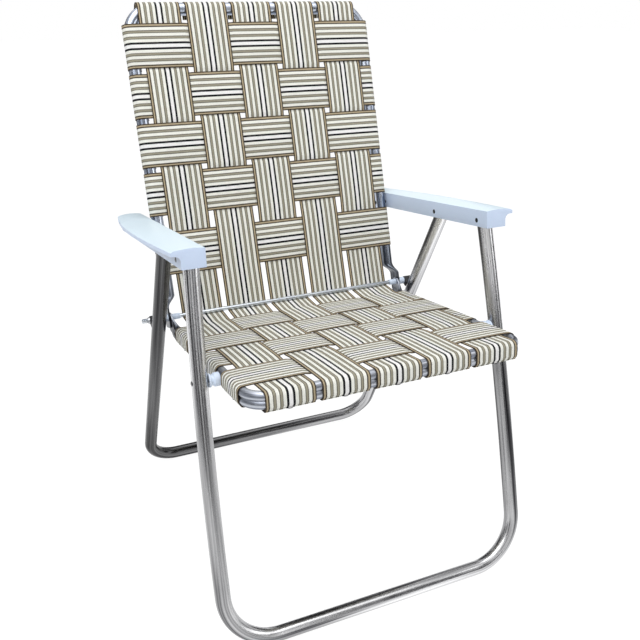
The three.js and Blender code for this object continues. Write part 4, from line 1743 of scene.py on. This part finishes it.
class FastenerTree:
    """Instances one fastener on each point: a washer, a domed head with a cross, and a shank."""

    sizes = (
        "Washer Radius",
        "Washer Height",
        "Head Radius",
        "Head Height",
        "Shank Radius",
        "Shank Length",
        "Recess Width",
    )

    def __init__(self) -> None:
        """Builds the tree."""
        graph, start = geometry_tree("fasteners", self.sizes)
        self.tree, out = graph.tree, start.outputs
        cone = {"Vertices": 40, "Radius Top": out["Head Radius"], "Radius Bottom": out["Washer Radius"]}
        washer = graph.add("GeometryNodeMeshCone", {**cone, "Depth": out["Washer Height"]})
        bolt = {"Vertices": 24, "Radius": out["Shank Radius"], "Depth": out["Shank Length"]}
        shank = graph.add("GeometryNodeMeshCylinder", bolt).outputs[0]
        sunk = graph.vector(Z=graph.math("MULTIPLY", out["Shank Length"], -0.5))
        joined = graph.add("GeometryNodeJoinGeometry")
        for piece in (washer.outputs[0], self.head(graph, out), graph.moved(shank, sunk)):
            graph.link(piece, joined.inputs[0])
        axis = graph.attribute("axis", "FLOAT_VECTOR")
        turned = graph.add("FunctionNodeAlignRotationToVector", {"Vector": axis}, axis="Z")
        values = {"Instance": joined.outputs[0], "Rotation": turned.outputs[0]}
        spread = graph.add("GeometryNodeInstanceOnPoints", {"Points": out["Geometry"], **values})
        close_tree(graph, spread.outputs[0], start)

    @staticmethod
    def head(graph: Graph, out: Sequence[bpy.types.NodeSocket]) -> bpy.types.NodeSocket:
        """A domed head on the washer, with a cross cut into it.

        Args:
            graph: The tree to build in.
            out: Outputs of the tree's input node.

        Returns:
            The head.
        """
        dome = graph.add("GeometryNodeMeshUVSphere", {"Segments": 32, "Rings": 16, "Radius": 1.0})
        size = graph.vector(X=out["Head Radius"], Y=out["Head Radius"], Z=out["Head Height"])
        shaped = graph.moved(dome.outputs[0], graph.vector(Z=out["Washer Height"]), size)
        cross = graph.add("GeometryNodeMeshBoolean", {"Mesh 1": shaped}, operation="DIFFERENCE")
        top = graph.vector(Z=graph.math("ADD", out["Washer Height"], out["Head Height"]))
        for wide, deep in (("Head Radius", "Recess Width"), ("Recess Width", "Head Radius")):
            extent = graph.vector(X=out[wide], Y=out[deep], Z=out["Head Height"])
            bar = graph.add("GeometryNodeMeshCube", {"Size": extent})
            graph.link(graph.moved(bar.outputs[0], top), cross.inputs["Mesh 2"])
        return cross.outputs[0]


@dataclass(frozen=True)
class FastenerSize:
    """Sizes of a fastener, in the order of the tree's inputs.

    A recess of a hundredth of a millimetre leaves the head plain.
    """

    washer_radius: float
    washer_height: float
    head_radius: float
    head_height: float
    shank_radius: float
    shank_length: float
    recess_width: float

    def values(self) -> dict[str, object]:
        """Sizes in metres by the names of the tree's inputs."""
        return {label: size * MM for label, size in zip(FastenerTree.sizes, astuple(self))}


@dataclass(frozen=True)
class Fasteners:
    """Screws of the strap ends and rivets of the pivots, by body."""

    webbing: Webbing
    rear_pivot_link: float = 184.0
    screw: FastenerSize = FastenerSize(5.4, 0.6, 3.6, 0.9, 1.9, 9.0, 0.9)
    rivet: FastenerSize = FastenerSize(4.0, 0.4, 3.3, 1.4, 3.0, 18.0, 0.01)

    def screw_places(self) -> dict[Body, list[tuple[Vector, Vector]]]:
        """Finds the strap screws.

        Returns:
            Place and axis of each screw, by the body that it sits in.
        """
        web = self.webbing
        back, seat = web.stack.back, web.stack.seat
        behind = back.setback + web.orbit + web.thickness / 2 + web.hem_step
        under = -seat.drop - web.lobe - web.lobe_orbit - web.thickness / 2 - web.hem_step
        places: dict[Body, list[tuple[Vector, Vector]]] = {Body.BACK: [], Body.SEAT: []}
        rear, down = Vector((0, 1, 0)), Vector((0, 0, -1))
        for side in Side:
            for top in web.back_row_tops:
                at = (side.value * back.half_width, behind, top - web.width / 2)
                places[Body.BACK].append(self.turned(LAYOUT.back, at, rear))
            for start in web.seat_row_starts:
                at = (side.value * seat.half_width, -start - web.width / 2, under)
                places[Body.SEAT].append(self.turned(LAYOUT.seat, at, down))
        for column in range(web.columns):
            x = web.column_x(column)
            places[Body.BACK].append(self.turned(LAYOUT.back, (x, behind, back.top), rear))
            places[Body.SEAT].append(self.turned(LAYOUT.seat, (x, -seat.reach, under), down))
        return places

    @staticmethod
    def turned(place: Place, at: Sequence[float], axis: Vector) -> tuple[Vector, Vector]:
        """A place and an axis of a local frame in the chair's frame."""
        return place.point(*at), place.matrix().to_3x3() @ axis

    def rivet_places(self) -> dict[Body, list[tuple[Vector, Vector]]]:
        """Finds the rivet heads.

        Returns:
            Place and axis of each head, by the body that it rides on.
        """
        stack = self.webbing.stack
        back, seat = stack.back, stack.seat
        on_back, on_seat = (back.setback, back.arm_pivot), (-seat.pivot_reach, -seat.drop)
        arm_walls = ((stack.arm_inner, -1), (stack.channel + stack.arm_channel + stack.arm_wall, 1))
        pivots = (
            (Body.BACK, LAYOUT.back, back.half_width - back.tube / 2, -1, on_back),
            (Body.BACK, LAYOUT.back, stack.channel, 1, on_back),
            (Body.SEAT, LAYOUT.seat, seat.half_width - seat.depth / 2, -1, on_seat),
            (Body.SEAT, LAYOUT.seat, stack.front_leg_seat + LAYOUT.leg_tube / 2, 1, on_seat),
        )
        places: dict[Body, list[tuple[Vector, Vector]]] = {}
        for side, arm in ((Side.LEFT, Body.LEFT_ARM), (Side.RIGHT, Body.RIGHT_ARM)):
            heads = [
                (arm, LAYOUT.arm, x, out, (along, 0))
                for along in (-LAYOUT.arm_link, -self.rear_pivot_link)
                for x, out in arm_walls
            ]
            for body, place, x, out, at in (*heads, *pivots):
                axis = Vector((side.value * out, 0, 0))
                places.setdefault(body, []).append((place.point(side.value * x, *at), axis))
        return places

    def build(self) -> None:
        """Makes the screws and the rivets, one piece for each body."""
        tree = FastenerTree().tree
        stands_for = {
            Body.BACK: [f"arm_rear_rivet_{side.word}" for side in Side],
            Body.SEAT: [f"seat_rivet_{side.word}" for side in Side],
            Body.LEFT_ARM: [f"arm_{place}_rivet_left" for place in ("front", "middle")],
            Body.RIGHT_ARM: [f"arm_{place}_rivet_right" for place in ("front", "middle")],
        }
        for body, places in self.screw_places().items():
            obj = self.piece(f"{body.value}_strap_screws", places, tree, self.screw, STEEL)
            place_piece(obj, body)
        for body, places in self.rivet_places().items():
            obj = self.piece(f"{body.value}_rivets", places, tree, self.rivet, RIVET_STEEL)
            place_piece(obj, body, stands_for[body])

    @staticmethod
    def piece(
        name: str,
        places: Sequence[tuple[Vector, Vector]],
        tree: bpy.types.NodeTree,
        size: FastenerSize,
        finish: Finish,
    ) -> bpy.types.Object:
        """All fasteners of one kind on one body, as one mesh.

        Args:
            name: Name of the piece.
            places: Place and axis of each fastener.
            tree: The tree that makes one on each point.
            size: Their sizes.
            finish: Their finish.

        Returns:
            The piece, not yet on a body.
        """
        points = bpy.data.meshes.new(name)
        points.from_pydata([place for place, _ in places], [], [])
        axes = points.attributes.new("axis", "FLOAT_VECTOR", "POINT")
        axes.data.foreach_set("vector", [number for _, axis in places for number in axis])
        obj = run_tree(name, points, tree, {**size.values(), "Material": finish.material()})
        smooth(obj.data, 35.0)
        return obj


@dataclass(frozen=True)
class Armrest:
    """A moulded arm: a channel for the legs, closed at both ends, and a thin wing outwards."""

    side: Side
    stack: Stack = Stack()
    front_overhang: float = 30.0
    rear_overhang: float = 85.0
    roof: float = 18.2
    crown: float = 1.8
    drop: float = 10.5
    edge_drop: float = 8.0
    chamfer: Point = (5.0, 2.2)
    end_wall: float = 3.0
    front_fillet: float = 9.0
    pocket_fillet: float = 2.5
    front_width: float = 52.0
    widest: float = 62.0
    rear_width: float = 44.0
    swell_share: float = 0.52
    fillet_margin: float = 0.5
    rounding: float = 0.9
    rounding_angle: float = 28.0
    stops: int = 48

    @property
    def front(self) -> float:
        """Front end along the arm."""
        return -LAYOUT.arm_link - self.front_overhang

    def reach(self, along: float) -> float:
        """Width of the arm at a place along it.

        Args:
            along: The place.

        Returns:
            The width from the arm's inner face.
        """
        share = (along - self.front) / (self.rear_overhang - self.front)
        if share < self.swell_share:
            return mix(self.front_width, self.widest, math.sin(share / self.swell_share * math.pi / 2))
        rest = (share - self.swell_share) / (1 - self.swell_share)
        return mix(self.widest, self.rear_width, rest * rest)

    def section(self, along: float, filled: bool) -> list[Point]:
        """Outline across the arm, from the foot of its inner wall over the top and back.

        Args:
            along: Place along the arm.
            filled: True in the end walls, where channel and wing are solid.

        Returns:
            Points as (x outwards, z).
        """
        stack, wall = self.stack, self.stack.arm_wall
        inner, edge = stack.arm_inner, stack.arm_inner + self.reach(along)
        outer_wall = stack.channel + stack.arm_channel + wall
        top, under = self.roof, self.roof - wall
        wing_under = self.roof - self.edge_drop
        fillet = self.front_fillet if filled else self.pocket_fillet
        ceiling = wing_under if filled else under
        channel_top = -self.drop if filled else under
        fillet = min(fillet, edge - wall - outer_wall - self.fillet_margin)
        crown = [
            (mix(inner, edge - self.chamfer[0], i / 10), top + self.crown * math.sin(math.pi * i / 10))
            for i in range(11)
        ]
        hollow = arc((outer_wall + fillet, ceiling - fillet), fillet, 90, 180, 8)
        return [
            (inner, -self.drop),
            *crown,
            (edge, top - self.chamfer[1]),
            (edge, wing_under),
            (edge - wall, wing_under),
            (edge - wall, ceiling),
            *hollow,
            (outer_wall, -self.drop),
            (outer_wall - wall, -self.drop),
            (outer_wall - wall, channel_top),
            (stack.channel, channel_top),
            (stack.channel, -self.drop),
        ]

    def build(self) -> None:
        """Makes the arm and rides it on its body."""
        front, rear = self.front, self.rear_overhang
        near, far = front + self.end_wall, rear - self.end_wall
        places = [(front, True), (near, True), (near, False)]
        places += [(mix(near, far, i / self.stops), False) for i in range(1, self.stops)]
        places += [(far, False), (far, True), (rear, True)]
        rings = [
            [LAYOUT.arm.point(self.side.value * x, along, z) for x, z in self.section(along, filled)]
            for along, filled in places
        ]
        name = f"arm_{self.side.word}_moulding"
        obj = new_object(name, closed_mesh(name, skin(rings, False, True)), ARM_PLASTIC)
        soften(obj, self.rounding, angle=self.rounding_angle)
        body = Body.LEFT_ARM if self.side is Side.LEFT else Body.RIGHT_ARM
        place_piece(obj, body, [f"armrest_{self.side.word}"])


def turned_piece(
    name: str, profile: Sequence[Point], side: Side, centre: Point, finish: Finish, sides: int = 56
) -> bpy.types.Object:
    """A piece turned about an axis along X.

    Args:
        name: Name of the piece.
        profile: Closed profile as (radius, distance outwards), without its last point again.
        side: Which side of the chair.
        centre: Side view place of the axis.
        finish: Its finish.
        sides: Facets round the axis.

    Returns:
        The piece, its edges still sharp.
    """
    rings = []
    for i in range(sides):
        turn = 2 * math.pi * i / sides
        c, s = math.cos(turn), math.sin(turn)
        ring = [(side.value * out, centre[0] + r * c, centre[1] + r * s) for r, out in profile]
        rings.append([Vector((x * MM, y * MM, z * MM)) for x, y, z in ring])
    return new_object(name, closed_mesh(name, skin(rings, True, False)), finish)


@dataclass(frozen=True)
class RodSet:
    """The cross rod with its collars, washers, leg guides and push nuts."""

    stack: Stack = Stack()
    guide_height: float = 12.0
    guide_behind: float = 5.5
    cradle_depth: float = 4.0
    rod_core: float = 0.02
    rod_tip: float = 0.8
    rod_chamfer: float = 0.8
    nut_wall: float = 0.9
    nut_dish: float = 1.35
    nut_inner: Point = (0.6, 0.45)
    nut_shoulder: Point = (0.86, 0.8)

    def build(self) -> None:
        """Makes the rod and what is on it."""
        stack, radius = self.stack, LAYOUT.rod_diameter / 2
        bore = radius + stack.gap
        collar_end = stack.back.outer_x - 2 * stack.back.plate - 2 * stack.gap
        collar = (collar_end - stack.collar_length, collar_end)
        washer = (stack.back.outer_x + stack.gap, stack.guide[0] - stack.gap)
        nut_start = stack.guide[1] + stack.gap
        self.bar(radius, nut_start + stack.nut_length + stack.rod_overhang)
        for side in Side:
            self.sleeve("collar", side, (bore, bore + stack.collar_wall), collar)
            self.sleeve("washer", side, (bore, stack.washer / 2), washer)
            self.nut(side, radius, nut_start)
            self.guide(side)

    def bar(self, radius: float, end: float) -> None:
        """The bare rod, chamfered at both ends.

        Args:
            radius: Radius of the rod.
            end: Half its length.
        """
        half = [(self.rod_core, end), (radius * self.rod_tip, end), (radius, end - self.rod_chamfer)]
        profile = [(around, -out) for around, out in half] + half[::-1]
        obj = turned_piece("rod_bar", profile, Side.LEFT, joint_point("seat_fold"), ROD_STEEL, 48)
        smooth(obj.data, 30.0)
        place_piece(obj, Body.BACK, ["cross_rod"])

    def sleeve(self, kind: str, side: Side, radii: Point, span: Point) -> None:
        """A white collar or washer round the rod.

        Args:
            kind: Which of the two, as it stands in the names.
            side: Which side of the chair.
            radii: Inner and outer radius.
            span: Where it starts and stops along the rod.
        """
        (inner, outer), (start, stop) = radii, span
        profile = [(inner, start), (outer, start), (outer, stop), (inner, stop)]
        rod, name = joint_point("seat_fold"), f"{kind}_{side.word}_ring"
        obj = soften(turned_piece(name, profile, side, rod, WHITE_NYLON), 0.5)
        place_piece(obj, Body.BACK, [f"rod_{kind}_{side.word}"])

    def nut(self, side: Side, radius: float, start: float) -> None:
        """A pressed push nut: a thin flange with a dished middle that bites the rod.

        Args:
            side: Which side of the chair.
            radius: Radius of the rod.
            start: Its inner face along the rod.
        """
        stack, wall = self.stack, self.nut_wall
        rim, length = stack.nut / 2, stack.nut_length
        (bite, dish), (shoulder, shoulder_at) = self.nut_inner, self.nut_shoulder
        profile = [
            (radius + stack.gap, start + length * bite),
            (radius * self.nut_dish, start + length * dish),
            (rim - wall, start),
            (rim, start),
            (rim, start + wall),
            (rim * shoulder, start + length * shoulder_at),
            (radius * self.nut_dish, start + length),
            (radius + stack.gap, start + length),
        ]
        rod, name = joint_point("seat_fold"), f"push_nut_{side.word}_cap"
        obj = soften(turned_piece(name, profile, side, rod, STEEL), 0.2)
        place_piece(obj, Body.BACK, [f"push_nut_{side.word}"])

    def guide(self, side: Side) -> None:
        """The black saddle on the rod that the rear leg lies and slides in.

        Args:
            side: Which side of the chair.
        """
        stack, offset = self.stack, LAYOUT.guide_offset
        cradle = LAYOUT.leg_tube / 2 + stack.gap
        low, high = stack.guide
        lip = cradle - self.cradle_depth
        edge, turn = lip - offset, math.degrees(math.asin(lip / cradle))
        outline = [(low, edge), (low, self.guide_behind), (high, self.guide_behind), (high, edge)]
        outline += arc((stack.rear_leg, -offset), cradle, turn, 180 - turn, 24)
        place = Place(joint_point("seat_fold"), LAYOUT.rear_lean)
        rings = [
            [place.point(side.value * x, y, half * self.guide_height) for x, y in outline]
            for half in (-0.5, 0.5)
        ]
        name = f"leg_guide_{side.word}_saddle"
        obj = new_object(name, closed_mesh(name, skin(rings, False, True)), BLACK_NYLON)
        soften(obj, 0.5)
        place_piece(obj, Body.LEG_GUIDES, [f"leg_guide_{side.word}"])


@dataclass(frozen=True)
class SeatPivot:
    """White spacers between the seat rails and the front legs."""

    stack: Stack = Stack()
    drum: float = 22.0
    neck: float = 17.0
    bore: float = 3.3
    taper: Point = (0.5, 0.62)
    flange: Point = (0.2, 0.16)

    def build(self) -> None:
        """Makes both spacers and rides them on the seat."""
        start, stop = self.stack.spacer
        length = stop - start
        drum, neck = self.drum / 2, self.neck / 2
        profile = [
            (self.bore, start),
            (drum, start),
            (drum, start + length * self.taper[0]),
            (neck, start + length * self.taper[1]),
            (neck, stop - length * self.flange[0]),
            (drum, stop - length * self.flange[1]),
            (drum, stop),
            (self.bore, stop),
        ]
        for side in Side:
            name = f"leg_spacer_{side.word}_drum"
            pivot = joint_point("front_leg_fold")
            obj = soften(turned_piece(name, profile, side, pivot, WHITE_NYLON), 0.7)
            place_piece(obj, Body.SEAT, [f"leg_spacer_{side.word}"])


@dataclass(frozen=True)
class Lamp:
    """A square area light: its name, place, side length in metres and power in watts."""

    name: str
    at: tuple[float, float, float]
    size: float
    power: float


@dataclass(frozen=True)
class Studio:
    """Camera, floor, soft lights and the dark panels that bright metal mirrors."""

    camera_at: tuple[float, float, float] = (-0.5518, -1.1952, 1.0022)
    yaw: float = 0.425
    pitch: float = -0.433
    roll: float = 0.011
    focal_pixels: float = 777.5
    centre_pixels: Point = (306.9, 331.5)
    picture: float = 640.0
    sensor: float = 36.0
    lamps: tuple[Lamp, ...] = (
        Lamp("key", (-1.9, -1.5, 3.0), 2.4, 34.0),
        Lamp("fill", (2.6, -1.6, 1.8), 2.0, 18.0),
        Lamp("top", (-0.4, -0.4, 3.4), 2.4, 50.0),
    )
    aim: tuple[float, float, float] = (0, 0, 0.45)
    sky: Colour = (0.93, 0.96, 1.0, 1)
    sky_strength: float = 0.50
    floor_size: float = 12.0
    floor_colour: Colour = (0.93, 0.93, 0.93, 1)
    floor_glow: float = 1.11
    floor_glow_share: float = 0.86
    panel_colour: Colour = (0.05, 0.05, 0.055, 1)
    panel_distance: float = 3.2
    panel_heights: Point = (0.02, 3.6)
    panel_angles: tuple[float, ...] = (-165, -128, -95, -60, -15, 35, 80, 125, 163)
    panel_widths: tuple[float, ...] = (1.5, 1.2, 0.9, 1.6, 1.8, 1.6, 2.0, 1.6, 1.0)

    def build(self) -> None:
        """Sets up the whole studio."""
        scene = bpy.context.scene
        scene.view_settings.view_transform = "Standard"
        scene.camera = self.camera()
        self.world(scene)
        self.floor()
        for lamp in self.lamps:
            self.light(lamp)
        self.panels()

    def camera(self) -> bpy.types.Object:
        """Camera at the photograph's viewing angle.

        Returns:
            The camera.
        """
        data = bpy.data.cameras.new("camera")
        data.sensor_width = self.sensor
        data.lens = self.focal_pixels / self.picture * self.sensor
        data.shift_x = (self.picture / 2 - self.centre_pixels[0]) / self.picture
        data.shift_y = (self.centre_pixels[1] - self.picture / 2) / self.picture
        obj = new_object("camera", data)
        cy, sy = math.cos(self.yaw), math.sin(self.yaw)
        cp, sp = math.cos(self.pitch), math.sin(self.pitch)
        forward = Vector((sy * cp, cy * cp, sp))
        right = Vector((cy, -sy, 0))
        up = right.cross(forward)
        across = right * math.cos(self.roll) + up * math.sin(self.roll)
        rise = up * math.cos(self.roll) - right * math.sin(self.roll)
        turn = Matrix((across, rise, -forward)).transposed()
        obj.matrix_world = Matrix.Translation(self.camera_at) @ turn.to_4x4()
        return obj

    def world(self, scene: bpy.types.Scene) -> None:
        """White to the camera, to mirrors and through glass, and a soft light on the object.

        Args:
            scene: The scene that gets the world.
        """
        scene.world = bpy.data.worlds.new("studio")
        graph = Graph.emptied(scene.world)
        seen = graph.seen("Is Transmission Ray")
        soft = graph.add("ShaderNodeBackground", {"Color": self.sky, "Strength": self.sky_strength})
        white = graph.add("ShaderNodeBackground", {"Color": (1, 1, 1, 1), "Strength": 1.0})
        mixed = graph.add("ShaderNodeMixShader", {0: seen, 1: soft.outputs[0], 2: white.outputs[0]})
        graph.show(mixed, "ShaderNodeOutputWorld")

    def floor(self) -> None:
        """A plain pale floor that keeps the object's shadow."""
        size = self.floor_size
        mesh = bpy.data.meshes.new("floor")
        points = [(-size, -size, 0), (size, -size, 0), (size, size, 0), (-size, size, 0)]
        mesh.from_pydata(points, [], [(0, 1, 2, 3)])
        material = bpy.data.materials.new("pale_floor")
        graph = Graph.emptied(material)
        matt = graph.add("ShaderNodeBsdfDiffuse", {"Color": self.floor_colour})
        glow = graph.add("ShaderNodeEmission", {"Color": (1, 1, 1, 1), "Strength": self.floor_glow})
        share = graph.math("MULTIPLY", graph.seen(), self.floor_glow_share)
        graph.show(graph.add("ShaderNodeMixShader", {0: share, 1: matt.outputs[0], 2: glow.outputs[0]}))
        mesh.materials.append(material)
        new_object("floor", mesh)

    def light(self, lamp: Lamp) -> None:
        """Hangs a lamp that points at the chair's middle.

        Args:
            lamp: The lamp.
        """
        data = bpy.data.lights.new(lamp.name, "AREA")
        data.size = lamp.size
        data.energy = lamp.power
        obj = new_object(lamp.name, data)
        obj.location = lamp.at
        away = Vector(self.aim) - Vector(lamp.at)
        obj.rotation_euler = away.to_track_quat("-Z", "Y").to_euler()

    def panels(self) -> None:
        """Tall dark panels round the chair, seen only as dark bands in the bright tubes."""
        material = bpy.data.materials.new("dark_panel")
        graph = Graph.emptied(material)
        graph.show(graph.add("ShaderNodeEmission", {"Color": self.panel_colour, "Strength": 1.0}))
        low, high = self.panel_heights
        for number, (angle, width) in enumerate(zip(self.panel_angles, self.panel_widths)):
            turn = math.radians(angle)
            out = Vector((math.cos(turn), math.sin(turn), 0))
            along = Vector((-out.y, out.x, 0)) * width / 2
            base = out * self.panel_distance
            points = [base - along, base + along, base + along, base - along]
            for point, z in zip(points, (low, low, high, high)):
                point.z = z
            mesh = bpy.data.meshes.new(f"panel_{number + 1}")
            mesh.from_pydata(points, [], [(0, 1, 2, 3)])
            mesh.materials.append(material)
            obj = new_object(f"panel_{number + 1}", mesh)
            for rays in ("camera", "diffuse", "shadow", "transmission"):
                setattr(obj, f"visible_{rays}", False)


def main() -> None:
    """Builds the studio and the chair in order."""
    logging.basicConfig(level=logging.INFO, format="%(name)s: %(message)s")
    stack = Stack()
    webbing = Webbing(stack)
    Studio().build()
    stack.back.build()
    stack.seat.build()
    front_legs(stack).build()
    rear_legs(stack).build()
    RodSet(stack).build()
    SeatPivot(stack).build()
    for side in Side:
        Armrest(side, stack).build()
    webbing.build()
    Fasteners(webbing).build()


if __name__ == "__main__":
    main()
